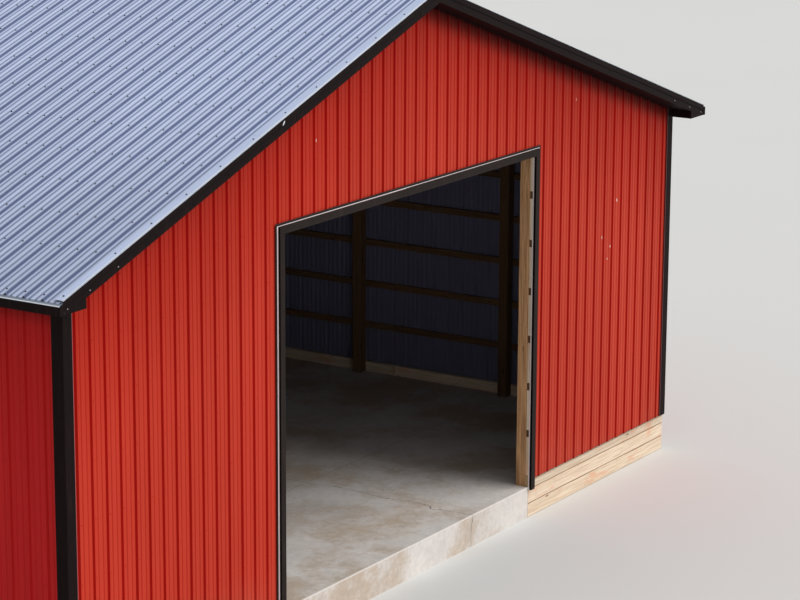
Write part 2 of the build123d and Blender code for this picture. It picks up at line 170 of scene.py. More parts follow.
def blended(shares: Shares, *patterns: Value) -> Value:
    """Adds shares of some patterns to a base level.

    Args:
        shares: The base level, then one share for each pattern.
        patterns: The patterns, in the order of their shares.

    Returns:
        The sum.
    """
    total = shares[0]
    for share, pattern in zip(shares[1:], patterns, strict=True):
        total = total + share * pattern
    return total


class Graph:
    """The nodes of one material, or of the sky; the constants are sockets of a colour blend."""

    BLEND_SHARE, FIRST_COLOUR, SECOND_COLOUR, BLENDED_COLOUR = 0, 6, 7, 2

    def __init__(self, name: str, sky: bool = False) -> None:
        """Starts an empty material or sky.

        Args:
            name: Its name.
            sky: Whether it is the sky.
        """
        self.owner = (bpy.data.worlds if sky else bpy.data.materials).new(name)
        self.owner.use_nodes = True
        self.tree = self.owner.node_tree
        self.tree.nodes.clear()

    def node(
        self, kind: str, settings: dict | None = None, inputs: dict | None = None,
        output: int | str = 0,
    ) -> Value:
        """Adds one node.

        Args:
            kind: The node's type.
            settings: Its own settings, set before its sockets.
            inputs: Values or links of its sockets, by name or index.
            output: The socket handed back.

        Returns:
            The chosen output.
        """
        made = self.tree.nodes.new(kind)
        for key, setting in (settings or {}).items():
            setattr(made, key, setting)
        for key, value in (inputs or {}).items():
            socket = made.inputs[key]
            if isinstance(value, Value):
                self.tree.links.new(value.socket, socket)
            else:
                socket.default_value = value
        return Value(self, made.outputs[output] if made.outputs else None)

    def split(self, vector: Value) -> tuple[Value, Value, Value]:
        """The three parts of a vector."""
        parts = self.node("ShaderNodeSeparateXYZ", None, {0: vector}).socket.node
        return tuple(Value(self, parts.outputs[axis]) for axis in range(3))

    def place(self) -> Value:
        """The point on the object, in metres of the shared frame."""
        return self.node("ShaderNodeTexCoord", None, None, "Object")

    def board(self) -> Value:
        """The point on a board: along its grain, then across it, in metres."""
        return self.node("ShaderNodeUVMap", {"uv_map": "board"})

    def island(self) -> Value:
        """A number from 0 to 1 for each sheet or board of a piece."""
        return self.node("ShaderNodeNewGeometry", None, None, "Random Per Island")

    def own_tone(self, spread: float) -> Value:
        """A tone round 1 for each sheet or board of a piece."""
        return 1 + (self.island() - 0.5) * spread

    def facing(self) -> tuple[Value, Value, Value]:
        """The three parts of the surface's own direction."""
        return self.split(self.node("ShaderNodeNewGeometry", None, None, "Normal"))

    def stretched(
        self, vector: Value, stretch: Sequence[float], shift: Value | float = 0.0
    ) -> Value:
        """Scales a vector part by part and moves it by the same amount on every axis.

        Args:
            vector: The vector.
            stretch: One factor for each axis.
            shift: How far the result moves.

        Returns:
            The scaled and moved vector.
        """
        scaling = {0: vector, 1: tuple(stretch)}
        scaled = self.node("ShaderNodeVectorMath", {"operation": "MULTIPLY"}, scaling)
        moved = self.node("ShaderNodeCombineXYZ", None, {0: shift, 1: shift, 2: shift})
        return self.node("ShaderNodeVectorMath", {"operation": "ADD"}, {0: scaled, 1: moved})

    def noise(
        self, vector: Value, scale: float, detail: float = 3.0, roughness: float = 0.55,
        stretch: Sequence[float] | None = None,
    ) -> Value:
        """Cloudy noise round 0.5.

        Args:
            vector: Where it is taken.
            scale: Clouds to the metre.
            detail: Octaves.
            roughness: Strength of the finer octaves.
            stretch: One more factor for each axis, for clouds that are longer one way.

        Returns:
            The noise.
        """
        vector = self.stretched(vector, stretch) if stretch else vector
        inputs = {"Vector": vector, "Scale": scale, "Detail": detail, "Roughness": roughness}
        return self.node("ShaderNodeTexNoise", None, inputs)

    def cells(self, vector: Value, scale: float) -> Value:
        """Distance from the nearest of many scattered points."""
        return self.node("ShaderNodeTexVoronoi", None, {"Vector": vector, "Scale": scale})

    def mix(self, share: Value | float, first: Value | Colour, second: Value | Colour) -> Value:
        """Blends two colours: a share of 0 gives the first and 1 the second."""
        inputs = {self.BLEND_SHARE: share, self.FIRST_COLOUR: first, self.SECOND_COLOUR: second}
        return self.node("ShaderNodeMix", {"data_type": "RGBA"}, inputs, self.BLENDED_COLOUR)

    def tone(self, colour: Value | Colour, factor: Value) -> Value:
        """Makes a colour lighter or darker by a factor."""
        inputs = {0: colour if isinstance(colour, Value) else colour[:3], "Scale": factor}
        return self.node("ShaderNodeVectorMath", {"operation": "SCALE"}, inputs)


# Finishes


BLACK_PAINT = paint(25, 16, 16)
WORN_BLACK = paint(52, 42, 38)
# Colour of the open sky, painted on as its reflection.
OPEN_SKY = paint(198, 211, 241)
EVEN = (1.0, 1.0, 1.0)


@dataclass(frozen=True, kw_only=True)
class Finish:
    """What every finish has: how tone and dullness vary, its relief and its clear reflection.

    Tone and dullness hold a base and then a share of each pattern that `material` blends in.
    """

    name: str
    tone: Shares
    dullness: Shares
    relief_depth: float
    relief_strength: float = 0.5
    specular: float
    metallic: float = 0.0

    def close(self, graph: Graph, colour: Value, relief: Value, *dulling: Value) -> Material:
        """Closes the material with its surface.

        Args:
            graph: The material's nodes.
            colour: Base colour.
            relief: Height of the surface, round 0 to 1.
            dulling: Patterns that the dullness adds to its base.

        Returns:
            The finished material.
        """
        bump = {"Height": relief, "Distance": self.relief_depth, "Strength": self.relief_strength}
        inputs = {
            "Base Color": colour,
            "Roughness": blended(self.dullness, *dulling),
            "Normal": graph.node("ShaderNodeBump", None, bump),
            "Specular IOR Level": self.specular,
            "Metallic": self.metallic,
        }
        surface = graph.node("ShaderNodeBsdfPrincipled", None, inputs)
        graph.node("ShaderNodeOutputMaterial", None, {"Surface": surface})
        return graph.owner


@dataclass(frozen=True, kw_only=True)
class PaintedSteel(Finish):
    """Coil-coated wall steel: rain streaks, dusty foot, painted shade on rib flanks and under the
    roof.

    A share says how strongly a mark shows, and a depth how far down from the roof it goes.
    """

    tone: Shares = (0.84, 0.18, 0.08, 0.1)
    dullness: Shares = (0.4, 0.14, 0.2)
    relief_depth: float = 0.006
    specular: float = 0.06
    colour: Colour
    axis: int
    ribs: "RibProfile"
    first_rib: float
    foot: float
    top: float
    slope: float = 0.0
    # Painted shade on the rib flanks and beside the low ribs.
    crease: Colour = paint(166, 2, 1)
    dust: Colour = paint(186, 120, 100)
    # Painted shade under the roof.
    sheltered: Colour = paint(150, 8, 2)
    # Painted sky sheen, lighter towards the right.
    faded: Colour = paint(192, 74, 56)
    flank_share: float = 0.88
    flank_reach: float = 0.013
    low_rib_share: float = 0.3
    low_rib_reach: float = 0.014
    crown_blur: float = 0.004
    # How much the lit rib crowns escape the painted shadow under the roof.
    clean_crown: float = 0.3
    # Strength and reach of the painted sky sheen.
    fade_share: float = 0.0
    fade_reach: float = 1.0
    # A slow painted shade, a painted eave shadow and a dark painted contact shadow under the roof.
    shelter_share: float = 0.5
    shelter_depth: float = 2.2
    grime_share: float = 0.81
    grime_depth: float = 0.29
    crack_share: float = 0.6
    crack_depth: float = 0.05
    splash_share: float = 0.18
    splash_height: float = 0.7
    sheet_spread: float = 0.10
    speckle_relief: float = 0.02

    def material(self) -> Material:
        """Builds the finish.

        Returns:
            The material.
        """
        graph = Graph(self.name)
        place = graph.place()
        parts = graph.split(place)
        streaks = graph.noise(place, scale=14, detail=4, stretch=(1, 1, 0.04))
        clouds = graph.noise(place, scale=0.9)
        speckle = graph.noise(place, scale=90, detail=2)
        dents = graph.noise(place, scale=3.2, detail=1, stretch=(1, 1, 0.35))
        from_rib = self.ribs.from_rib(parts[self.axis], self.first_rib)
        # Painted shade along the rib flanks and beside the low ribs.
        flank = from_rib.near((self.ribs.base + self.ribs.top) / 4, self.flank_reach)
        low_rib = from_rib.near(self.ribs.pitch / 3, self.low_rib_reach)
        crown = from_rib.within(self.ribs.top / 2, self.crown_blur, self.crown_blur)
        # Painted shadow under the roof: a soft band and a dark contact line, lighter on the lit rib
        # crowns.
        below_roof = self.top - abs(parts[0]) * self.slope - parts[2]
        grime = below_roof.rise(self.grime_depth, 0.0) * (1 - self.clean_crown * crown)
        crack = below_roof.rise(self.crack_depth, 0.0)
        splash = parts[2].rise(self.foot + self.splash_height, self.foot)
        splash = splash * clouds.rise(low=0.35, high=0.75)
        tone = graph.own_tone(self.sheet_spread) * blended(self.tone, streaks, clouds, speckle)
        tone = tone * (1 - self.grime_share * grime) * (1 - self.crack_share * crack)
        # Painted sky sheen that grows towards the right.
        faded = parts[0].rise(-self.fade_reach, self.fade_reach) * self.fade_share
        colour = graph.mix(faded, self.colour, self.faded)
        # Slow painted shade down from the roof.
        sheltered = below_roof.rise(self.shelter_depth, 0.0) * self.shelter_share
        colour = graph.mix(sheltered, colour, self.sheltered)
        crease = (flank * self.flank_share).at_least(low_rib * self.low_rib_share)
        colour = graph.mix(crease, colour, self.crease)
        colour = graph.mix(splash * self.splash_share, graph.tone(colour, tone), self.dust)
        return self.close(graph, colour, dents + self.speckle_relief * speckle, clouds, splash)


@dataclass(frozen=True, kw_only=True)
class RoofSteel(Finish):
    """Dark roof steel with painted sky reflection on pale pans, painted shade on tall and low ribs.

    A blur is how far an edge fades outside and inside.
    """

    tone: Shares = (0.73, 0.12, 0.08, 0.06, 0.24)
    dullness: Shares = (0.34, 0.16)
    relief_depth: float = 0.005
    specular: float = 0.12
    ribs: "RibProfile"
    first_rib: float
    eave: float
    # The pale pan colour is a painted sky reflection; the rib colour is painted shade.
    pan: Colour = paint(204, 216, 246)
    rib: Colour = paint(81, 94, 129)
    rib_blur: Point = (0.010, 0.006)
    crown_blur: Point = (0.002, 0.003)
    crown_share: float = 0.25
    shaded_flank: float = 0.007
    low_rib_reach: float = 0.024
    low_rib_share: float = 0.74
    unwashed: float = 0.3
    sheet_spread: float = 0.09
    speckle_relief: float = 0.02

    def material(self) -> Material:
        """Builds the finish.

        Returns:
            The material.
        """
        graph = Graph(self.name)
        place = graph.place()
        across, along, _ = graph.split(place)
        wash = graph.noise(place, scale=11, detail=4, stretch=(0.12, 1, 0.12))
        clouds = graph.noise(place, scale=0.7)
        speckle = graph.noise(place, scale=70)
        dents = graph.noise(place, scale=3.0, detail=1, stretch=(0.4, 1, 0.4))
        # Lighter towards the ridge.
        washed = abs(across).rise(self.eave, self.eave * self.unwashed)
        from_rib = self.ribs.from_rib(along, self.first_rib)
        # Painted shade over the tall ribs, less on their crowns, and thin painted shade lines by the
        # low ribs.
        tall_rib = from_rib.within(self.ribs.base / 2, *self.rib_blur)
        crown = from_rib.within(self.ribs.top / 2, *self.crown_blur)
        from_flank = self.ribs.from_rib(along, self.first_rib + self.shaded_flank)
        low_rib = from_flank.near(self.ribs.pitch / 3, self.low_rib_reach)
        shade = (tall_rib * (1 - self.crown_share * crown)).at_least(low_rib * self.low_rib_share)
        tone = blended(self.tone, wash, clouds, speckle, washed)
        tone = graph.own_tone(self.sheet_spread) * tone
        colour = graph.tone(graph.mix(shade, self.pan, self.rib), tone)
        return self.close(graph, colour, dents + self.speckle_relief * speckle, clouds)


@dataclass(frozen=True, kw_only=True)
class TrimSteel(Finish):
    """Painted trim: dust and scuffs, and a painted sky reflection on faces that look up.

    The painted highlights on the drip edge and the hem are told by their distance from the
    building's middle plane, and what is 0 or None is left out.
    """

    tone: Shares = (0.8, 0.25, 0.15)
    sky_tone: Shares = (0.85, 0.2, 0.1)
    dullness: Shares = (0.42, 0.2)
    relief_depth: float = 0.003
    specular: float = 0.04
    colour: Colour = BLACK_PAINT
    worn: Colour = WORN_BLACK
    # Painted sky reflection on faces that look up.
    sky: Colour | None = None
    # Painted highlight along the drip edge.
    bright: Colour = paint(226, 232, 242)
    bright_beyond: float = 0.0
    bright_blur: float = 0.002
    # Painted highlight along the corner trims' hem.
    hem: Colour = paint(150, 100, 106)
    hem_within: float = 0.0
    hem_blur: float = 0.001
    shade: Colour = paint(9, 7, 8)
    side_shade: float = 0.0
    groove_step: float = 0.0
    groove_reach: float = 0.09
    groove_relief: float = 2.0
    worn_share: float = 0.35
    speckle_relief: float = 0.05

    def material(self) -> Material:
        """Builds the finish.

        Returns:
            The material.
        """
        graph = Graph(self.name)
        place = graph.place()
        across, along, _ = graph.split(place)
        clouds = graph.noise(place, scale=1.6, detail=4)
        grime = graph.noise(place, scale=24, detail=4, stretch=(1, 1, 0.12))
        speckle = graph.noise(place, scale=110, detail=2)
        colour = graph.tone(self.colour, blended(self.tone, clouds, speckle))
        colour = graph.mix(grime.rise(low=0.5, high=0.8) * self.worn_share, colour, self.worn)
        # Painted sky reflection on faces that look up.
        if self.sky:
            up = graph.facing()[2].rise(low=0.75, high=0.9)
            sky = graph.tone(self.sky, blended(self.sky_tone, clouds, speckle))
            colour = graph.mix(up, colour, sky)
        # Painted highlight along the drip edge.
        if self.bright_beyond:
            edge = abs(across).rise(self.bright_beyond, self.bright_beyond + self.bright_blur)
            colour = graph.mix(edge, colour, self.bright)
        # Painted highlight along the hem.
        if self.hem_within:
            hem = abs(across).rise(self.hem_within, self.hem_within - self.hem_blur)
            colour = graph.mix(hem, colour, self.hem)
        if self.side_shade:
            side = abs(graph.facing()[0]).rise(low=0.4, high=0.8)
            colour = graph.mix(side * self.side_shade, colour, self.shade)
        relief = clouds + self.speckle_relief * speckle
        if self.groove_step:
            turn = ((across + along) / self.groove_step).fraction()
            relief = relief + self.groove_relief * turn.near(0.5, self.groove_reach)
        return self.close(graph, colour, relief, grime)


@dataclass(frozen=True, kw_only=True)
class EdgedFlashing(Finish):
    """Pale doorway flashing, with painted shade on its outer edge down both jambs and over the head.
    """

    tone: Shares = (0.82, 0.2, 0.16)
    dullness: Shares = (0.45, 0.2)
    relief_depth: float = 0.001
    relief_strength: float = 0.4
    specular: float = 0.15
    colour: Colour
    edge_colour: Colour
    edge_x: float
    edge_z: float
    edge_width: float = 0.027
    edge_blur: float = 0.0005

    def material(self) -> Material:
        """Builds the finish.

        Returns:
            The material.
        """
        graph = Graph(self.name)
        place = graph.place()
        across, _, height = graph.split(place)
        clouds = graph.noise(place, scale=4, detail=4)
        grime = graph.noise(place, scale=40, stretch=(1, 1, 0.1))
        # Painted shade along the outer edge of the jambs and the head.
        start_x, start_z = self.edge_x - self.edge_width, self.edge_z - self.edge_width
        outer = abs(across).rise(start_x, start_x + self.edge_blur)
        upper = height.rise(start_z, start_z + self.edge_blur)
        pale = graph.tone(self.colour, blended(self.tone, clouds, grime))
        colour = graph.mix(outer.at_least(upper), pale, self.edge_colour)
        return self.close(graph, colour, grime, grime)


@dataclass(frozen=True, kw_only=True)
class BareSteel(Finish):
    """Unpainted or primed steel: inner faces of the walls, plates, bolts and nails."""

    tone: Shares = (0.8, 0.2, 0.12, 0.1)
    dullness: Shares = (0.4, 0.2)
    relief_depth: float = 0.001
    specular: float = 0.2
    colour: Colour
    tooth_step: float = 0.0
    tooth_reach: float = 0.35
    tooth_shade: float = 0.45
    tooth_relief: float = 2.0

    def material(self) -> Material:
        """Builds the finish.

        Returns:
            The material.
        """
        graph = Graph(self.name)
        place = graph.place()
        clouds = graph.noise(place, scale=2.2, detail=4)
        spangle = graph.cells(place, scale=120)
        speckle = graph.noise(place, scale=60)
        tone = blended(self.tone, clouds, spangle, speckle)
        relief = speckle
        if self.tooth_step:
            across, _, height = graph.split(place)
            columns = (across / self.tooth_step).fraction().near(0.5, self.tooth_reach)
            rows = (height / self.tooth_step).fraction().near(0.5, self.tooth_reach)
            tone = tone * (1 - self.tooth_shade * columns * rows)
            relief = relief - self.tooth_relief * columns * rows
        return self.close(graph, graph.tone(self.colour, tone), relief, clouds)


@dataclass(frozen=True, kw_only=True)
class Lumber(Finish):
    """Sawn softwood with its grain along each board, knots, checks and a tone to each board.

    The patterns lie in the board's own coordinates, stretched along the grain.
    """

    tone: Shares = (0.86, 0.28)
    dullness: Shares = (0.74, 0.14)
    relief_depth: float = 0.0015
    relief_strength: float = 0.7
    specular: float = 0.2
    early: Colour
    late: Colour
    knot: Colour
    stain: Colour
    board_spread: float = 0.2
    checks: float = 0.3
    cross_checks: float = 0.0
    stain_share: float = 0.2
    knot_share: float = 0.85
    board_shift: float = 37
    grain_wander: float = 5
    fibre_relief: float = 0.4
    split_relief: float = 0.8
    knot_relief: float = 0.3

    def material(self) -> Material:
        """Builds the finish.

        Returns:
            The material.
        """
        graph = Graph(self.name)
        board = graph.stretched(graph.board(), EVEN, graph.island() * self.board_shift)
        wander = graph.noise(board, scale=1.0, detail=2, stretch=(0.5, 2.5, 1))
        grain_place = graph.stretched(board, (1.4, 60, 1), wander * self.grain_wander)
        grain = graph.noise(grain_place, scale=1.0, detail=5, roughness=0.62)
        fibre = graph.noise(board, scale=1.0, detail=2, stretch=(14, 420, 1))
        patch = graph.noise(board, scale=1.0, stretch=(2.5, 8, 1)).rise(low=0.56, high=0.7)
        knots = graph.cells(graph.stretched(board, (2.2, 9, 1)), scale=1.0)
        knots = knots.rise(low=0.13, high=0.05)
        split = graph.noise(board, scale=1.0, detail=2, stretch=(3, 110, 1))
        split = split.rise(low=0.72, high=0.76)
        if self.cross_checks:
            torn = graph.noise(board, scale=1.0, stretch=(34, 5, 1)).rise(low=0.66, high=0.72)
            split = split.at_least(torn * self.cross_checks)
        colour = graph.mix(grain.rise(low=0.3, high=0.72), self.early, self.late)
        colour = graph.mix(patch * self.stain_share, colour, self.stain)
        colour = graph.mix(knots * self.knot_share, colour, self.knot)
        tone = graph.own_tone(self.board_spread) * blended(self.tone, fibre)
        colour = graph.tone(colour, tone * (1 - self.checks * split))
        relief = grain + self.fibre_relief * fibre - self.split_relief * split
        return self.close(graph, colour, relief + self.knot_relief * knots, grain)


@dataclass(frozen=True, kw_only=True)
class EndGrain(Finish):
    """Sawn ends of the boards: rings round a heart that lies off the board."""

    tone: Shares = (0.75, 0.4)
    dullness: Shares = (0.85,)
    relief_depth: float = 0.0008
    relief_strength: float = 0.6
    specular: float = 0.15
    early: Colour
    late: Colour
    heart_shift: float = 0.11
    rings_to_metre: float = 190
    waver: float = 2

    def material(self) -> Material:
        """Builds the finish.

        Returns:
            The material.
        """
        graph = Graph(self.name)
        board = graph.stretched(graph.board(), EVEN, graph.island() * self.heart_shift)
        wavy = graph.noise(board, scale=18, detail=2)
        fibre = graph.noise(board, scale=320, detail=2)
        along, across, _ = graph.split(board)
        from_heart = (along * along + across * across) ** 0.5
        ring = (from_heart * self.rings_to_metre + wavy * self.waver).fraction()
        colour = graph.tone(graph.mix(ring, self.early, self.late), blended(self.tone, fibre))
        return self.close(graph, colour, ring + fibre)


@dataclass(frozen=True, kw_only=True)
class Concrete(Finish):
    """Trowelled floor slab: stains, earth, fine grit, wear at the doorway, sawn joints, one crack.

    The relief has a share each for blotches, mottling, grit and lines, and the joints start
    behind the doorway.
    """

    tone: Shares = (0.56, 0.2, 0.5, 0.12, 0.06)
    dullness: Shares = (0.75, 0.2)
    relief_depth: float = 0.003
    relief_strength: float = 0.7
    relief: Shares = (0.3, 0.2, 0.25, 1.5)
    specular: float = 0.25
    colour: Colour
    stain: Colour
    joint: Colour
    joint_step: float
    front: float
    top: float
    earth: Colour = paint(178, 152, 122)
    worn: Colour = paint(232, 226, 220)
    stain_share: float = 0.55
    earth_share: float = 0.6
    worn_share: float = 0.75
    worn_depth: float = 1.8
    arris_share: float = 0.8
    arris_width: float = 0.022
    joint_width: float = 0.004
    joints_from: Point = (0.5, 0.6)
    crack_x: float = 1.35
    crack_wander: float = 0.5
    crack_edges: Point = (0.007, 0.002)
    crack_share: float = 0.8
    drift_shift: float = 7.0

    def lines(self, graph: Graph, across: Value, along: Value) -> Value:
        """The sawn joints and the crack.

        Args:
            graph: The material's nodes.
            across: Place across the building.
            along: Place along the building.

        Returns:
            1 on a line and 0 beside it.
        """
        turn = ((along - self.front) / self.joint_step + 0.5).fraction()
        sawn = abs(turn - 0.5).rise(self.joint_width / self.joint_step, 0.0)
        start, full = (self.front + back for back in self.joints_from)
        wobble = (graph.noise(graph.place(), scale=1.7, detail=5) - 0.5) * self.crack_wander
        crack = abs(across - self.crack_x + wobble).rise(*self.crack_edges)
        return (sawn * along.rise(start, full)).at_least(crack * self.crack_share)

    def material(self) -> Material:
        """Builds the finish.

        Returns:
            The material.
        """
        graph = Graph(self.name)
        place = graph.place()
        across, along, height = graph.split(place)
        clouds = graph.noise(place, scale=0.8, detail=5)
        blotch = graph.noise(place, scale=3.2, detail=4)
        mottle = graph.noise(place, scale=11, detail=6, roughness=0.72)
        drift_place = graph.stretched(place, EVEN, self.drift_shift)
        drift = graph.noise(drift_place, scale=0.7, detail=7, roughness=0.7)
        grit = graph.noise(place, scale=160)
        sand = graph.cells(place, scale=55)
        lines = self.lines(graph, across, along)
        worn = along.rise(self.front + self.worn_depth, self.front) * self.worn_share
        width = self.arris_width
        arris = along.rise(self.front + width, self.front + width / 2)
        arris = arris * height.rise(self.top - width, self.top - width / 2)
        stained = clouds.rise(low=0.42, high=0.72) * self.stain_share
        colour = graph.mix(stained, self.colour, self.stain)
        colour = graph.mix(worn * blotch, colour, self.worn)
        earthy = drift.rise(low=0.44, high=0.6) * self.earth_share
        colour = graph.mix(earthy, colour, self.earth)
        colour = graph.tone(colour, blended(self.tone, blotch, mottle, grit, sand))
        colour = graph.mix(arris * self.arris_share, colour, self.worn)
        colour = graph.mix(lines, colour, self.joint)
        of_blotch, of_mottle, of_grit, of_lines = self.relief
        relief = of_blotch * blotch + of_mottle * mottle + of_grit * grit - of_lines * lines
        return self.close(graph, colour, relief, grit)


@dataclass(frozen=True, kw_only=True)
class StudioFloor(Finish):
    """Pale floor with the faintest mottling."""

    name: str = "studio floor"
    tone: Shares = (0.98, 0.04)
    dullness: Shares = (0.9,)
    relief_depth: float = 0.001
    relief_strength: float = 0.1
    specular: float = 0.1
    colour: Colour = paint(226, 226, 224)

    def material(self) -> Material:
        """Builds the finish.

        Returns:
            The material.
        """
        graph = Graph(self.name)
        clouds = graph.noise(graph.place(), scale=0.2, detail=2)
        return self.close(graph, graph.tone(self.colour, blended(self.tone, clouds)), clouds)


class Finishes:
    """Every finish of the barn, made once."""

    def __init__(self, layout: "Layout") -> None:
        """Makes the finishes that fit the building.

        Args:
            layout: Planes and levels taken from the frame.
        """
        self.layout = layout
        self.coat_steel()
        self.coat_trims()
        self.dress_lumber()
        self.lining = BareSteel(name="bare inner face", colour=paint(114, 115, 138)).material()
        self.chip = BareSteel(name="chipped paint", colour=paint(226, 196, 186)).material()
        self.zinc = BareSteel(
            name="zinc fasteners", colour=paint(168, 170, 172), metallic=0.6
        ).material()
        self.plate = BareSteel(
            name="toothed plates", colour=paint(160, 163, 166), metallic=0.5, tooth_step=0.012
        ).material()
        self.concrete = Concrete(
            name="floor concrete", colour=paint(214, 207, 202), stain=paint(164, 152, 140),
            joint=paint(88, 80, 72), joint_step=layout.bay, front=-layout.wall_y,
            top=layout.floor_top,
        ).material()

    def coat_steel(self) -> None:
        """Makes the finishes of the ribbed steel."""
        layout = self.layout
        # The gable red takes a painted sky sheen towards the right.
        self.gable_red = PaintedSteel(
            name="red gable steel", colour=paint(190, 57, 40), axis=0, ribs=layout.gable_ribs,
            first_rib=layout.first_gable_rib, foot=layout.steel_bottom, top=layout.gable_apex,
            slope=layout.rise, fade_share=0.5, fade_reach=layout.wall_x,
        ).material()
        # The side walls' deeper red is the gable red with shade painted in.
        self.side_red = PaintedSteel(
            name="red side steel", colour=paint(190, 37, 38), axis=1, ribs=layout.ribs,
            first_rib=layout.first_side_rib, foot=layout.steel_bottom, top=layout.side_top,
            shelter_share=0.3, flank_share=0.55,
        ).material()
        self.roof = RoofSteel(
            name="roof steel", ribs=layout.ribs, first_rib=layout.first_roof_rib,
            eave=layout.sheet_end_x,
        ).material()

    def coat_trims(self) -> None:
        """Makes the finishes of the trims and flashings."""
        layout = self.layout

        def trim(name: str, **fields: Colour | float) -> Material:
            """A finish of painted trim."""
            return TrimSteel(name=name, **fields).material()

        self.black = trim("black trim")
        # The ridge cap, the flange in the roof and the eave trim take a painted sky reflection on
        # top.
        self.cap = trim("ridge cap", sky=paint(180, 192, 222))
        self.sky_black = trim("black trim in the roof", sky=OPEN_SKY)
        # The eave trim's drip edge takes a painted highlight.
        self.drip_black = trim(
            "eave trim with a drip edge", sky=paint(132, 142, 156),
            bright_beyond=layout.eave_x - layout.drip_edge,
        )
        # The corner trims' hem takes a painted highlight.
        hem_within = layout.corner_hem_x + layout.corner_hem
        self.corner_black = trim("corner trim", hem_within=hem_within)
        self.soffit = trim("ribbed soffit", groove_step=0.1)
        # Painted highlight on the rake trims' rolled top edge; the pale smear on the rake shares it.
        self.edge = trim("bright folded edge", colour=paint(228, 234, 244), worn=OPEN_SKY)
        # Near black: painted shadow under the rake trims' upper band, and the dark roof screws.
        self.gap = trim("dirt under the rake band", colour=paint(10, 8, 8), worn=paint(16, 13, 12))
        self.grey = trim("grey base trim", colour=paint(150, 148, 132), worn=paint(178, 170, 150))
        self.door_black = trim(
            "doorway trim", colour=paint(40, 33, 31), worn=paint(70, 60, 56), side_shade=0.85
        )
        # The flashing's dark outer edge is painted shade.
        self.flashing = EdgedFlashing(
            name="doorway flashing", colour=paint(238, 222, 222), edge_colour=paint(34, 26, 25),
            edge_x=layout.flashing_edge_x, edge_z=layout.flashing_top,
        ).material()

    def dress_lumber(self) -> None:
        """Makes the finishes of the boards."""

        def boards(name: str, *tones: Sequence[float], **fields: float) -> Material:
            """A finish of boards, in tones of their early wood, late wood, knots and stain."""
            tints = dict(zip(("early", "late", "knot", "stain"), (paint(*tone) for tone in tones)))
            return Lumber(name=name, **tints, **fields).material()

        self.new_lumber = boards(
            "new lumber", (236, 219, 196), (206, 180, 152), (118, 82, 58), (224, 166, 132),
            board_spread=0.16, stain_share=0.6,
        )
        self.joint = boards(
            "dirty board arris", (176, 148, 120), (140, 112, 86), (70, 50, 36), (150, 118, 92)
        )
        self.black_lumber = boards(
            "blackened board", (30, 22, 20), (20, 15, 14), (14, 10, 9), (34, 27, 24)
        )
        self.post_lumber = boards(
            "doorway post lumber", (226, 177, 130), (150, 108, 72), (78, 52, 34), (160, 120, 82),
            board_spread=0.1, checks=0.7, cross_checks=0.9, stain_share=0.6,
        )
        self.old_lumber = boards(
            "old lumber", (124, 94, 66), (92, 69, 48), (50, 33, 23), (104, 90, 76),
            board_spread=0.3, checks=0.55, stain_share=0.45,
        )
        self.new_end = EndGrain(
            name="new lumber end", early=paint(214, 190, 150), late=paint(164, 130, 90)
        ).material()
        self.old_end = EndGrain(
            name="old lumber end", early=paint(120, 90, 62), late=paint(72, 52, 36)
        ).material()


# Layout, read from the frame


@dataclass(frozen=True)
class RibProfile:
    """The rolled steel sheet: tall ribs, two low ribs between them, and lapped side edges."""

    pitch: float = 0.2286
    height: float = 0.019
    base: float = 0.045
    top: float = 0.013
    low_height: float = 0.005
    low_base: float = 0.026
    low_top: float = 0.010
    gauge: float = 0.0008
    lap: float = 0.0009
    ribs_per_sheet: int = 4

    def from_rib(self, along: Value, first_rib: float) -> Value:
        """Distance of a place along the steel from the nearest tall rib's centre."""
        turn = ((along - first_rib) / self.pitch + 0.5).fraction()
        return abs(turn - 0.5) * self.pitch

    def rib(self, at: float, lift: float = 0.0) -> list[Point]:
        """The four bends of a tall rib as (along, outwards)."""
        base, top, height = self.base / 2, self.top / 2, self.height + lift
        return [(at - base, lift), (at - top, height), (at + top, height), (at + base, 0.0)]

    def low_rib(self, at: float) -> list[Point]:
        """The four bends of a low rib as (along, outwards)."""
        base, top, height = self.low_base / 2, self.low_top / 2, self.low_height
        return [(at - base, 0.0), (at - top, height), (at + top, height), (at + base, 0.0)]

    def sheets(self, start: float, end: float, first_rib: float) -> list[list[Point]]:
        """Outlines of the lapped sheets between two edges.

        Args:
            start: One edge of the steel.
            end: The other edge.
            first_rib: Centre of a rib at which a sheet begins.

        Returns:
            One outline for each sheet, as (along, outwards) points.
        """
        cover = self.pitch * self.ribs_per_sheet
        index = math.floor((start - first_rib) / cover)
        outlines = []
        while first_rib + index * cover < end:
            left = first_rib + index * cover
            outline = self.rib(left, self.lap)
            for step in range(self.ribs_per_sheet):
                pan = left + step * self.pitch
                outline += self.low_rib(pan + self.pitch / 3)
                outline += self.low_rib(pan + self.pitch * 2 / 3)
                outline += self.rib(pan + self.pitch)
            outline = clipped(outline[:-1], start, end)
            if len(outline) > 1:
                outlines.append(outline)
            index += 1
        return outlines


def clipped(outline: Sequence[Point], start: float, end: float) -> list[Point]:
    """Cuts an outline at two places along it.

    Args:
        outline: Points as (along, outwards), going up along.
        start: The lower cut.
        end: The upper cut.

    Returns:
        What lies between the cuts, with a point at each cut that it crosses.
    """
    kept: list[Point] = []
    for first, second in zip(outline, outline[1:]):
        for cut in (start, end):
            if first[0] < cut < second[0]:
                share = (cut - first[0]) / (second[0] - first[0])
                kept.append((cut, first[1] + share * (second[1] - first[1])))
        if start <= second[0] <= end:
            kept.append(second)
    if outline and start <= outline[0][0] <= end:
        kept.insert(0, outline[0])
    return sorted(set(kept))


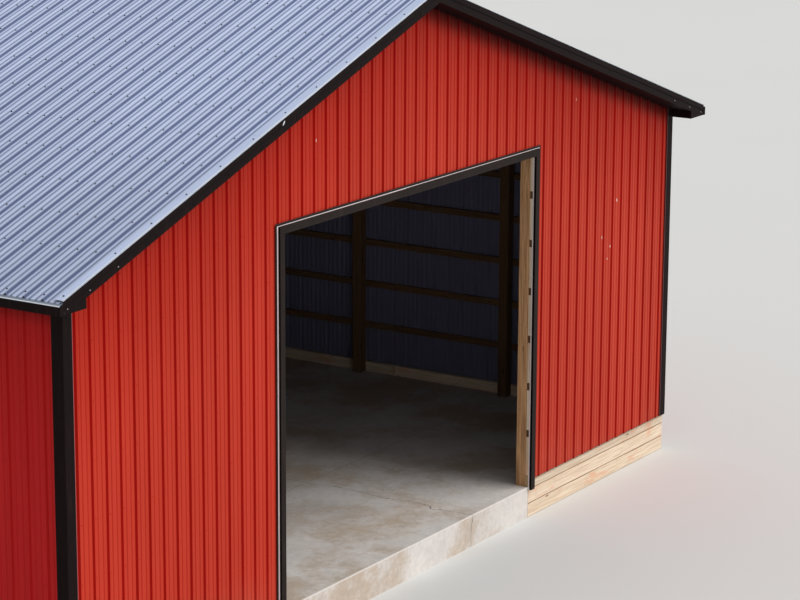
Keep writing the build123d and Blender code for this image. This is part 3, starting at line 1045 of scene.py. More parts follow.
@dataclass(frozen=True)
class Layout:
    """Planes, levels and slopes of the building, taken from the frame's nodes."""

    wall_x: float
    wall_y: float
    floor_top: float
    steel_bottom: float
    gable_apex: float
    side_top: float
    door_edge_x: float
    over_door: float
    roof_end_y: float
    pan_apex: float
    sheet_start_x: float
    sheet_end_x: float
    rake_end_x: float
    rake_floor: float
    rake_face_y: float
    eave_x: float
    corner_hem_x: float
    flashing_edge_x: float
    flashing_top: float
    ribs: RibProfile
    gable_ribs: RibProfile
    rise: float = 1 / 3
    seat: float = 0.0003
    plate: float = 0.001
    drip_edge: float = 0.010
    corner_hem: float = 0.006
    bay_count: int = 5
    first_gable_rib_in: float = 0.1814
    first_side_rib_in: float = 0.2484
    first_roof_rib_in: float = 0.236

    @classmethod
    def from_frame(cls) -> "Layout":
        """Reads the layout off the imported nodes.

        Returns:
            The layout.
        """
        ribs = RibProfile()
        cosine = 1 / math.hypot(1, cls.rise)
        crest = (cls.plate + ribs.height) * cosine
        roof_low, roof_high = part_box("roof_right")
        rake_low, rake_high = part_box("rake_trim_front_right")
        return cls(
            wall_x=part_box("skirt_right")[1].x, wall_y=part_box("skirt_back")[1].y,
            floor_top=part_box("floor_slab")[1].z, steel_bottom=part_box("front_wall_left")[0].z,
            gable_apex=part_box("back_wall")[1].z, side_top=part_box("right_wall")[1].z,
            door_edge_x=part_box("front_wall_right")[0].x,
            over_door=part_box("front_wall_over_door")[0].z,
            roof_end_y=-rake_low.y, pan_apex=roof_high.z - crest + roof_low.x * cls.rise,
            sheet_start_x=roof_low.x, sheet_end_x=roof_high.x - crest * cls.rise,
            rake_end_x=rake_high.x, rake_floor=rake_low.z,
            rake_face_y=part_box("eave_returns_back")[1].y, eave_x=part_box("eave_trims")[1].x,
            corner_hem_x=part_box("corner_trim_front_right")[0].x,
            flashing_edge_x=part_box("door_flashings")[1].x,
            flashing_top=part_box("door_flashings")[1].z,
            ribs=ribs, gable_ribs=RibProfile(pitch=0.2297),
        )

    @property
    def cosine(self) -> float:
        """Cosine of the roof's angle."""
        return 1 / math.hypot(1, self.rise)

    @property
    def sine(self) -> float:
        """Sine of the roof's angle."""
        return self.rise * self.cosine

    @property
    def bay(self) -> float:
        """Length of one bay."""
        return 2 * self.wall_y / self.bay_count

    @property
    def first_gable_rib(self) -> float:
        """Place of the leftmost rib of a gable."""
        return -self.wall_x + self.first_gable_rib_in

    @property
    def first_side_rib(self) -> float:
        """Place of the frontmost rib of a side wall."""
        return -self.wall_y + self.first_side_rib_in

    @property
    def first_roof_rib(self) -> float:
        """Place of the frontmost rib of the roof."""
        return -self.roof_end_y + self.first_roof_rib_in

    def on_roof(self, side: Side, down: float, along: float, above: float) -> Vector:
        """A point of the roof.

        Args:
            side: Left or right slope.
            down: Metres down the slope from the ridge.
            along: Place along the building.
            above: Height square to the slope over the underside of the roof steel.

        Returns:
            The point.
        """
        reach = down * self.cosine + above * self.sine
        height = self.pan_apex - down * self.sine + above * self.cosine
        return Vector((side.value * reach, along, height))

    def down_at(self, reach: float, above: float) -> float:
        """How far down the slope a height over the steel comes to a distance from the middle."""
        return (reach - above * self.sine) / self.cosine

    def gable_top(self, across: float) -> float:
        """Top edge of the gable steel at a place across the building."""
        return self.gable_apex - abs(across) * self.rise

    def on_wall(self, facing: Facing, run: float, height: float, proud: float = 0.0) -> Vector:
        """A point of a wall, some way along it and proud of the boards' outer face."""
        out = facing.value * ((self.wall_y if isinstance(facing, Gable) else self.wall_x) + proud)
        return Vector((run, out, height) if isinstance(facing, Gable) else (out, run, height))

    @staticmethod
    def outward(facing: Facing) -> Vector:
        """Which way a wall faces."""
        return Vector((0, facing.value, 0) if isinstance(facing, Gable) else (facing.value, 0, 0))

    def wall_ribs(self, facing: Facing) -> tuple[RibProfile, float]:
        """Ribs of a wall's steel, and the place of the first one."""
        if isinstance(facing, Gable):
            return self.gable_ribs, self.first_gable_rib
        return self.ribs, self.first_side_rib


# Mesh tools

# Corners this near are one, so are faces bent this little, and places differ at this decimal.
WELD = 1e-5
FLAT_DEGREES = 0.5
PLACES = 4


class MeshMaker:
    """Collects the faces of one piece and turns them into an object."""

    BLOCK_FACES = (
        (0, 2, 3, 1), (4, 5, 7, 6), (0, 1, 5, 4), (2, 6, 7, 3), (0, 4, 6, 2), (1, 3, 7, 5),
    )

    def __init__(self, name: str, *materials: Material) -> None:
        """Starts an empty piece.

        Args:
            name: The piece's name.
            materials: Its materials, in the order that the faces name them.
        """
        self.name = name
        self.materials = materials
        self.points: list[Vector] = []
        self.faces: list[tuple[int, ...]] = []
        self.skins: list[int] = []

    def face(self, corners: Iterable[int], skin: int = 0) -> None:
        """Adds one face over points already given."""
        self.faces.append(tuple(corners))
        self.skins.append(skin)

    def folded(
        self, outer: Sequence[Point], inner: Sequence[Point], ends: Callable[[Point], Ends],
        skins: Sequence[int] | None = None, inner_skin: int = 1,
    ) -> None:
        """Adds one folded sheet, closed all round.

        Args:
            outer: Section of its outer face.
            inner: Section of its inner face, with as many points.
            ends: Gives both ends of the sheet at a point of a section.
            skins: Material of each strip of the outer face.
            inner_skin: Material of the inner face.
        """
        base = len(self.points)
        for outer_point, inner_point in zip(outer, inner):
            self.points += [*ends(outer_point), *ends(inner_point)]
        last = len(outer) - 1
        for index in range(last):
            here = base + index * 4
            there = here + 4
            skin = skins[index] if skins else 0
            self.face((here, there, there + 1, here + 1), skin)
            self.face((here + 3, there + 3, there + 2, here + 2), inner_skin)
            self.face((here + 2, there + 2, there, here), skin)
            self.face((here + 1, there + 1, there + 3, here + 3), skin)
        close = base + last * 4
        self.face((base, base + 1, base + 3, base + 2))
        self.face((close + 2, close + 3, close + 1, close))

    def block(self, low: Vector, high: Vector, skin: int = 0) -> None:
        """Adds a plain plate.

        Args:
            low: Its lowest corner on every axis.
            high: Its highest corner.
            skin: Its material.
        """
        base = len(self.points)
        for index in range(8):
            picked = [(low, high)[index >> axis & 1][axis] for axis in range(3)]
            self.points.append(Vector(picked))
        for corners in self.BLOCK_FACES:
            self.face((base + corner for corner in corners), skin)

    def drum(self, foot: Sequence[Vector], top: Sequence[Vector], skin: int, closed: bool) -> None:
        """Adds a drum between two rings of as many points.

        Args:
            foot: The ring at its foot.
            top: The ring at its top.
            skin: Its material.
            closed: Whether its foot has a face too.
        """
        low, sides = len(self.points), len(foot)
        high = low + sides
        self.points += [*foot, *top]
        for step in range(sides):
            following = (step + 1) % sides
            self.face((low + step, low + following, high + following, high + step), skin)
        self.face(range(high, high + sides), skin)
        if closed:
            self.face(range(low, high), skin)

    def piece(self, slot: str, *nodes: str, closed: bool = True) -> Object:
        """Makes the object and ties it to the frame.

        Args:
            slot: The record's material slot.
            nodes: Nodes of the frame that it stands for.
            closed: Whether its faces are turned outwards together.

        Returns:
            The object.
        """
        mesh = bpy.data.meshes.new(self.name)
        mesh.from_pydata([tuple(point) for point in self.points], [], self.faces)
        for polygon, skin in zip(mesh.polygons, self.skins):
            polygon.material_index = skin
        if closed:
            work = bmesh.new()
            work.from_mesh(mesh)
            bmesh.ops.recalc_face_normals(work, faces=work.faces)
            work.to_mesh(mesh)
            work.free()
        return tied(mesh, self.name, self.materials, slot, *nodes)


def tied(
    mesh: bpy.types.Mesh, name: str, materials: Iterable[Material], slot: str, *nodes: str
) -> Object:
    """Makes an object of a mesh, fixed to the building.

    Args:
        mesh: The mesh.
        name: The piece's name.
        materials: Its materials.
        slot: The record's material slot; not used.
        nodes: Nodes of the frame that it stands for.

    Returns:
        The object.
    """
    for material in materials:
        mesh.materials.append(material)
    piece = bpy.data.objects.new(name, mesh)
    bpy.context.scene.collection.objects.link(piece)
    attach(piece, "root")
    if nodes:
        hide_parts(*nodes)
    return piece


def beside(path: Sequence[Point], gauge: float) -> list[Point]:
    """Moves a bent path to its left by a thickness, with mitred corners.

    Args:
        path: The path.
        gauge: The thickness; below zero it goes to the right.

    Returns:
        The moved path.
    """
    turns = []
    for first, second in zip(path, path[1:]):
        run = Vector((second[0] - first[0], second[1] - first[1])).normalized()
        turns.append(Vector((-run.y, run.x)))
    moved = []
    for index, point in enumerate(path):
        before = turns[max(index - 1, 0)]
        after = turns[min(index, len(turns) - 1)]
        step = (before + after) * gauge / (1 + before.dot(after))
        moved.append((point[0] + step.x, point[1] + step.y))
    return moved


@dataclass(frozen=True)
class Solid:
    """One closed solid of a node of the frame."""

    low: Vector
    high: Vector
    points: tuple[Vector, ...]

    @property
    def middle(self) -> Vector:
        """Middle of the solid's box."""
        return (self.low + self.high) / 2


def islands(work: BMesh) -> list[list[BMFace]]:
    """Sorts the faces of a mesh into its separate solids.

    Args:
        work: The mesh.

    Returns:
        The faces of each solid.
    """
    work.faces.ensure_lookup_table()
    waiting = set(work.faces)
    groups = []
    for start in work.faces:
        if start not in waiting:
            continue
        waiting.discard(start)
        group, edge = [start], [start]
        while edge:
            for corner in edge.pop().verts:
                for other in corner.link_faces:
                    if other in waiting:
                        waiting.discard(other)
                        group.append(other)
                        edge.append(other)
        groups.append(group)
    return groups


def welded(node: str) -> BMesh:
    """Copies a node's mesh with its corners joined and its flat faces whole.

    Args:
        node: The node's name.

    Returns:
        The mesh.
    """
    work = bmesh.new()
    work.from_mesh(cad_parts[node].data)
    bmesh.ops.remove_doubles(work, verts=work.verts, dist=WELD)
    flat = math.radians(FLAT_DEGREES)
    bmesh.ops.dissolve_limit(work, angle_limit=flat, verts=work.verts, edges=work.edges)
    return work


def solids(node: str) -> list[Solid]:
    """The separate solids of a node.

    Args:
        node: The node's name.

    Returns:
        Its solids, from the lowest place on each axis up.
    """
    work = welded(node)
    found = []
    for group in islands(work):
        corners = dict.fromkeys(corner for face in group for corner in face.verts)
        points = tuple(corner.co.copy() for corner in corners)
        low = Vector(min(point[axis] for point in points) for axis in range(3))
        high = Vector(max(point[axis] for point in points) for axis in range(3))
        found.append(Solid(low, high, points))
    work.free()
    return sorted(found, key=lambda solid: tuple(round(part, PLACES) for part in solid.middle))


def separate(node: str) -> list[BMesh]:
    """Copies each solid of a node into a mesh of its own.

    Args:
        node: The node's name.

    Returns:
        One mesh for each solid.
    """
    work = welded(node)
    singles = []
    for group in islands(work):
        single = bmesh.new()
        made: dict[BMVert, BMVert] = {}
        for face in group:
            for corner in face.verts:
                if corner not in made:
                    made[corner] = single.verts.new(corner.co)
            single.faces.new([made[corner] for corner in face.verts])
        singles.append(single)
    work.free()
    return singles


def levels(node: str, axis: int) -> list[float]:
    """The different middles of a node's solids along an axis, in order."""
    return sorted({round(solid.middle[axis], PLACES) for solid in solids(node)})


# Walls and roof


@dataclass
class Assembly:
    """What every sub-assembly of the building works from."""

    layout: Layout
    finishes: Finishes

    def sheets(
        self, node: str, outlines: Iterable[Sequence[Point]], ends: Callable[[Point], Ends],
        painted: Material, slot: str,
    ) -> Object:
        """Builds lapped rolled sheets, painted outside and bare inside.

        Args:
            node: The node that they stand for.
            outlines: Inner face of each sheet.
            ends: Gives the two ends of the steel at a point of an outline.
            painted: Finish of the outer face.
            slot: The record's material slot.

        Returns:
            The piece.
        """
        gauge = self.layout.ribs.gauge
        maker = MeshMaker(node + "_sheets", painted, self.finishes.lining)
        for outline in outlines:
            maker.folded([(along, out + gauge) for along, out in outline], outline, ends)
        return maker.piece(slot, node)


@dataclass
class WallCladding(Assembly):
    """Ribbed wall steel of all four sides, in lapped sheets."""

    def build(self) -> list[Object]:
        """Builds the six pieces of wall steel.

        Returns:
            The pieces.
        """
        lay = self.layout
        foot, door = lay.steel_bottom, lay.door_edge_x
        head = door - lay.seat
        return [
            self.wall("front_wall_left", Gable.FRONT, -lay.wall_x, -door, foot),
            self.wall("front_wall_right", Gable.FRONT, door, lay.wall_x, foot),
            self.wall("front_wall_over_door", Gable.FRONT, -head, head, lay.over_door),
            self.wall("back_wall", Gable.BACK, -lay.wall_x, lay.wall_x, foot),
            self.wall("left_wall", Side.LEFT, -lay.wall_y, lay.wall_y, foot),
            self.wall("right_wall", Side.RIGHT, -lay.wall_y, lay.wall_y, foot),
        ]

    def wall(self, node: str, facing: Facing, start: float, end: float, low: float) -> Object:
        """Builds a wall or part of one; a gable's steel has a point right under the ridge.

        Args:
            node: The node it stands for.
            facing: Which wall it is in.
            start: Its edge at the left or the front.
            end: Its other edge.
            low: Its lower edge.

        Returns:
            The piece.
        """
        lay, looks = self.layout, self.finishes
        gable = isinstance(facing, Gable)

        def ends(point: Point) -> Ends:
            """Foot and top of the steel at a point of its section."""
            top = lay.gable_top(point[0]) if gable else lay.side_top
            return tuple(lay.on_wall(facing, point[0], z, lay.seat + point[1]) for z in (low, top))

        ribs, first_rib = lay.wall_ribs(facing)
        outlines = ribs.sheets(start, end, first_rib)
        if gable:
            halves = ((start, min(end, 0.0)), (max(start, 0.0), end))
            outlines = [
                sorted({point for half in halves for point in clipped(outline, *half)})
                for outline in outlines
            ]
        painted = looks.gable_red if gable else looks.side_red
        return self.sheets(node, outlines, ends, painted, "red_steel")


@dataclass
class RoofCladding(Assembly):
    """Ribbed roof steel of both slopes and the ridge cap over it.

    The bends of the cap's edge are (in from the edge, out of the flat), with a stiffening bead.
    """

    cap_leg: float = 0.230
    cap_over_pan: float = 0.0216
    cap_length: float = 3.2
    cap_lap: float = 0.15
    cap_lap_lift: float = 0.5
    cap_bends: tuple[Point, ...] = (
        (0.0, 0.0), (0.018, 0.0), (0.023, 0.003), (0.029, 0.003), (0.034, 0.0),
    )

    def build(self) -> list[Object]:
        """Builds both slopes and the ridge cap."""
        return [*(self.slope(side) for side in Side), self.cap()]

    def slope(self, side: Side) -> Object:
        """Builds the sheets of one slope.

        Args:
            side: Left or right.

        Returns:
            The piece.
        """
        lay = self.layout
        start, end = lay.down_at(lay.sheet_start_x, 0), lay.down_at(lay.sheet_end_x, 0)

        def ends(point: Point) -> Ends:
            """Ridge end and eave end of the steel at a point of its section."""
            return lay.on_roof(side, start, *point), lay.on_roof(side, end, *point)

        edge = lay.roof_end_y - lay.plate - lay.seat
        outlines = lay.ribs.sheets(-edge, edge, lay.first_roof_rib)
        node = f"roof_{side.name.lower()}"
        return self.sheets(node, outlines, ends, self.finishes.roof, "roof_steel")

    def cap_section(self, above: float) -> list[Point]:
        """Underside of the cap as (across, height), from its right edge to its left edge.

        Args:
            above: Its height over the underside of the roof steel.

        Returns:
            The section.
        """
        lay = self.layout
        right = []
        for inward, out in self.cap_bends:
            point = lay.on_roof(Side.RIGHT, self.cap_leg - inward, 0.0, above + out)
            right.append((point.x, point.z))
        left = [(-across, height) for across, height in reversed(right)]
        crown = lay.on_roof(Side.RIGHT, 0.0, 0.0, above)
        return [*right, (0.0, crown.z + crown.x * lay.rise), *left]

    def cap(self) -> Object:
        """Builds the ridge cap in lapped lengths.

        Returns:
            The piece.
        """
        lay = self.layout
        gauge = lay.ribs.gauge
        maker = MeshMaker("ridge_cap_lengths", self.finishes.cap, self.finishes.lining)
        count = math.ceil(2 * lay.roof_end_y / self.cap_length)
        step = 2 * lay.roof_end_y / count
        for index in range(count):
            lift = (index % 2) * gauge * self.cap_lap_lift
            first = -lay.roof_end_y + index * step - (self.cap_lap if index else 0.0)
            last = -lay.roof_end_y + (index + 1) * step

            def ends(point: Point, places: Point = (first, last)) -> Ends:
                """Front and back end of the cap at a point of its section."""
                return tuple(Vector((point[0], place, point[1])) for place in places)

            path = self.cap_section(self.cap_over_pan + lift)
            maker.folded(beside(path, -gauge), path, ends)
        return maker.piece("roof_steel", "ridge_cap")


class Strip(IntEnum):
    """Finishes of a rake trim's strips, by their place in its materials."""

    # Strips of painted shadow under the upper band, painted highlight on the roll and painted sky
    # reflection on the flange.
    BLACK, SKY, GAP, EDGE = range(4)


@dataclass
class RakeTrims(Assembly):
    """Black trims up the four rakes: a proud upper band, a lower band and a flange on the roof."""

    STRIPS = (
        Strip.BLACK, Strip.BLACK, Strip.GAP, Strip.GAP, Strip.BLACK,
        Strip.EDGE, Strip.EDGE, Strip.SKY, Strip.SKY,
    )

    face: float = 0.153
    flange: float = 0.108
    # Width of the strip by the roll that takes the painted highlight.
    bright_edge: float = 0.024
    hem: float = 0.020
    upper_band: float = 0.070
    # Height of the strip under the upper band that takes the painted shadow.
    gap: float = 0.012
    roll: float = 0.006
    length: float = 3.4
    lap: float = 0.12
    lap_inset: float = 1.2

    @property
    def top(self) -> float:
        """Height of the flange over the underside of the roof steel."""
        lay = self.layout
        return lay.plate + lay.ribs.height + lay.seat + lay.plate

    def path(self, inset: float) -> list[Point]:
        """Section of the trim as (in from the end of the roof, height), from hem to flange.

        Args:
            inset: How far it all stands in, for a length that a lap covers.

        Returns:
            The section.
        """
        top = self.top - inset
        foot = self.top - self.face + inset
        band = self.top - self.upper_band
        back = self.layout.roof_end_y - self.layout.rake_face_y + inset
        return [
            (back + self.hem, foot), (back, foot), (back, band - self.gap), (back, band),
            (inset, band), (inset, top - self.roll), (inset + self.roll, top),
            (inset + self.bright_edge, top), (self.flange - self.roll, top),
            (self.flange, top - self.roll / 2),
        ]

    def corner(self, gable: Gable, side: Side, reach: float, point: Point) -> Vector:
        """A corner of a length, which is cut plumb, or level at the foot of the trim.

        Args:
            gable: Front or back.
            side: Left or right.
            reach: Distance of the plumb cut from the building's middle.
            point: Point of the section.

        Returns:
            The corner.
        """
        lay, (inward, above) = self.layout, point
        lowest = (lay.pan_apex + above * lay.cosine - lay.rake_floor) / lay.sine
        down = min(lay.down_at(reach, above), lowest)
        return lay.on_roof(side, down, gable.value * (lay.roof_end_y - inward), above)

    def build(self) -> list[Object]:
        """Builds the four trims."""
        return [self.trim(gable, side) for gable in Gable for side in Side]

    def trim(self, gable: Gable, side: Side) -> Object:
        """Builds one trim in lapped lengths, cut plumb at the ridge and the eave.

        Args:
            gable: Front or back.
            side: Left or right.

        Returns:
            The piece.
        """
        lay, looks = self.layout, self.finishes
        node = f"rake_trim_{gable.name.lower()}_{side.name.lower()}"
        maker = MeshMaker(node + "_lengths", looks.black, looks.sky_black, looks.gap, looks.edge)
        count = math.ceil(lay.rake_end_x / self.length)
        step = (lay.rake_end_x - lay.seat / 2) / count
        for index in range(count):
            first = lay.seat / 2 + index * step
            last = min(first + step + self.lap, lay.rake_end_x)

            def ends(point: Point, reaches: Point = (first, last)) -> Ends:
                """Upper and lower end of the trim at a point of its section."""
                return tuple(self.corner(gable, side, reach, point) for reach in reaches)

            path = self.path(lay.ribs.gauge * self.lap_inset * (index % 2))
            inner = beside(path, -lay.ribs.gauge)
            maker.folded(path, inner, ends, self.STRIPS, Strip.BLACK)
        return maker.piece("black_steel", node)


@dataclass
class DoorHead(Assembly):
    """Black trim over the doorway, in two lengths that lap off the middle."""

    lap_x: float = -0.25
    lap: float = 0.07
    lap_inset: float = 1.3
    sag: float = 0.003
    sag_at_lap: float = 0.4
    inner_leg: float = 0.030

    def build(self) -> list[Object]:
        """Builds the head trim.

        Returns:
            The one piece.
        """
        looks = self.finishes
        low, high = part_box("door_trim_head")
        middle = (low.z + high.z) / 2
        gauge = self.layout.ribs.gauge
        maker = MeshMaker("door_trim_head_lengths", looks.door_black, looks.black)
        lengths = (
            (low.x, self.lap_x + self.lap, gauge * self.lap_inset, (self.sag, 0.0)),
            (self.lap_x, high.x, 0.0, (self.sag - self.sag * self.sag_at_lap, self.sag)),
        )
        for start, end, inset, lifts in lengths:
            front, foot, top = low.y + inset, low.z + inset, high.z - inset - self.sag
            path = [(front + self.inner_leg, foot), (front, foot), (front, top), (high.y, top)]

            def ends(point: Point, spots: Point = (start, end), lifts: Point = lifts) -> Ends:
                """Left and right end of the trim at a point of its section."""
                heights = (point[1] + lift * (point[1] > middle) for lift in lifts)
                return tuple(Vector((x, point[0], z)) for x, z in zip(spots, heights))

            maker.folded(path, beside(path, -gauge), ends)
        for edge in (low.x, high.x - gauge):
            corner = Vector((edge, low.y + gauge, low.z + gauge))
            maker.block(corner, Vector((edge + gauge, high.y, high.z - self.sag - gauge)))
        return [maker.piece("black_steel", "door_trim_head")]


# Lumber


class Cut(IntEnum):
    """Kinds of face on a board, by their place in its materials."""

    FLAT, SAWN, EASED = range(3)


@dataclass
class Timber:
    """Boards of one node with eased arrises, real board lengths and grain laid along them.

    The constants are the cosines that tell how a board runs and which way its faces look.
    """

    STEEP = 0.9
    SAWN_ACROSS = 0.6
    FLAT = 0.9
    EDGE_ON = 0.7

    node: str
    slot: str
    face: Material
    end: Material
    arris: float = 0.003
    eased: Material | None = None
    longest: float = 4.9
    stagger: float = 0.3
    cut: float = 0.002

    def build(self) -> Object:
        """Builds the boards.

        Returns:
            The piece.
        """
        mesh = bpy.data.meshes.new(self.node + "_boards")
        whole = bmesh.new()
        whole.loops.layers.uv.new("board")
        for turn, solid in enumerate(separate(self.node)):
            for board in self.cut_to_length(solid, turn):
                edges = board.edges[:]
                bmesh.ops.bevel(board, geom=edges, offset=self.arris, segments=1, affect="EDGES")
                bmesh.ops.recalc_face_normals(board, faces=board.faces)
                self.lay_grain(board)
                board.to_mesh(mesh)
                board.free()
                whole.from_mesh(mesh)
        whole.to_mesh(mesh)
        whole.free()
        looks = (self.face, self.end, self.eased or self.face)
        return tied(mesh, self.node + "_boards", looks, self.slot, self.node)

    def cut_to_length(self, board: BMesh, turn: int) -> list[BMesh]:
        """Cuts a board that is longer than lumber comes, with joints staggered board by board.

        Args:
            board: The board.
            turn: Its number in the node.

        Returns:
            The lengths.
        """
        grain = self.grain(board)
        spots = [corner.co.dot(grain) for corner in board.verts]
        low, high = min(spots), max(spots)
        count = math.ceil((high - low) / self.longest)
        shift = (turn % 2 - 0.5) * self.longest * self.stagger / count
        lengths, rest = [], board
        for index in range(1, count):
            spot = low + (high - low) * index / count + shift
            far = rest.copy()
            for part, side in ((rest, 1), (far, -1)):
                bmesh.ops.bisect_plane(
                    part,
                    geom=[*part.verts, *part.edges, *part.faces],
                    plane_co=grain * (spot - side * self.cut / 2),
                    plane_no=grain,
                    clear_outer=side > 0,
                    clear_inner=side < 0,
                )
                bmesh.ops.holes_fill(part, edges=[edge for edge in part.edges if edge.is_boundary])
            lengths.append(rest)
            rest = far
        return lengths + [rest]

    @staticmethod
    def grain(board: BMesh) -> Vector:
        """Direction of a board's longest edge, always towards the right, the back or the top.

        Args:
            board: The board.

        Returns:
            The direction.
        """
        longest = max(board.edges, key=lambda edge: edge.calc_length())
        run = (longest.verts[1].co - longest.verts[0].co).normalized()
        return run if run.x + run.y + run.z > 0 else -run

    def lay_grain(self, board: BMesh) -> None:
        """Lays a board's own coordinates and finishes on its faces: sawn end, flat or arris.

        Args:
            board: The board.
        """
        layer = board.loops.layers.uv.new("board")
        grain = self.grain(board)
        upright = Vector((0, 0, 1)) if abs(grain.z) < self.STEEP else Vector((1, 0, 0))
        side = grain.cross(upright).normalized()
        square = grain.cross(side)
        for face in board.faces:
            to_side, to_square = abs(face.normal.dot(side)), abs(face.normal.dot(square))
            sawn = abs(face.normal.dot(grain)) > self.SAWN_ACROSS
            flat = max(to_side, to_square) > self.FLAT
            face.material_index = Cut.SAWN if sawn else Cut.FLAT if flat else Cut.EASED
            along = side if sawn else grain
            across = side if to_side < self.EDGE_ON and not sawn else square
            for loop in face.loops:
                loop[layer].uv = (loop.vert.co.dot(along), loop.vert.co.dot(across))


@dataclass
class Carpentry(Assembly):
    """All the lumber of the building."""

    NEW = ("skirt_front", "skirt_left", "skirt_right", "skirt_back", "door_nailers")
    OLD = (
        "side_posts_left", "side_posts_right", "gable_posts_front", "gable_posts_back",
        "door_posts", "girts_left", "girts_right", "girts_front", "girts_back",
        "truss_carriers", "truss_bottom_chords", "truss_top_chords", "truss_webs",
        "knee_braces", "purlins_left", "purlins_right", "rake_boards", "eave_boards",
    )

    skirt_arris: float = 0.007

    def build(self) -> list[Object]:
        """Builds the boards of every lumber node.

        Returns:
            One piece for each node.
        """
        looks = self.finishes
        pieces = []
        for node in self.NEW:
            boards = Timber(node, "new_lumber", looks.new_lumber, looks.new_end)
            if node.startswith("skirt"):
                boards.arris, boards.eased = self.skirt_arris, looks.joint
            pieces.append(boards.build())
        faces = {"door_posts": looks.post_lumber, "rake_boards": looks.black_lumber}
        for node in self.OLD:
            face = faces.get(node, looks.old_lumber)
            pieces.append(Timber(node, "old_lumber", face, looks.old_end).build())
        return pieces


# Fasteners


@dataclass(frozen=True)
class ScrewHead:
    """A hexagonal screw head on its round washer."""

    HEX = 6

    washer_radius: float = 0.0075
    washer_rise: float = 0.0022
    head_radius: float = 0.0048
    head_rise: float = 0.0062
    washer_sides: int = 8
    washer_slope: float = 0.75

    def add(self, maker: MeshMaker, point: Vector, out: Vector, skin: int = 0) -> None:
        """Adds one screw head.

        Args:
            maker: The piece that takes it.
            point: Where it sits.
            out: Which way it faces.
            skin: Its material.
        """
        turn = out.to_track_quat("Z", "Y")

        def ring(radius: float, rise: float, sides: int) -> list[Vector]:
            """Points round the screw's middle."""
            turns = (math.tau * step / sides for step in range(sides))
            spots = (Vector((radius * math.cos(a), radius * math.sin(a), rise)) for a in turns)
            return [point + turn @ spot for spot in spots]

        washer, sides = self.washer_radius, self.washer_sides
        rise, head = self.washer_rise, self.head_radius
        top = ring(washer * self.washer_slope, rise, sides)
        maker.drum(ring(washer, 0.0, sides), top, skin, closed=False)
        top = ring(head, self.head_rise, self.HEX)
        maker.drum(ring(head, rise, self.HEX), top, skin, closed=False)


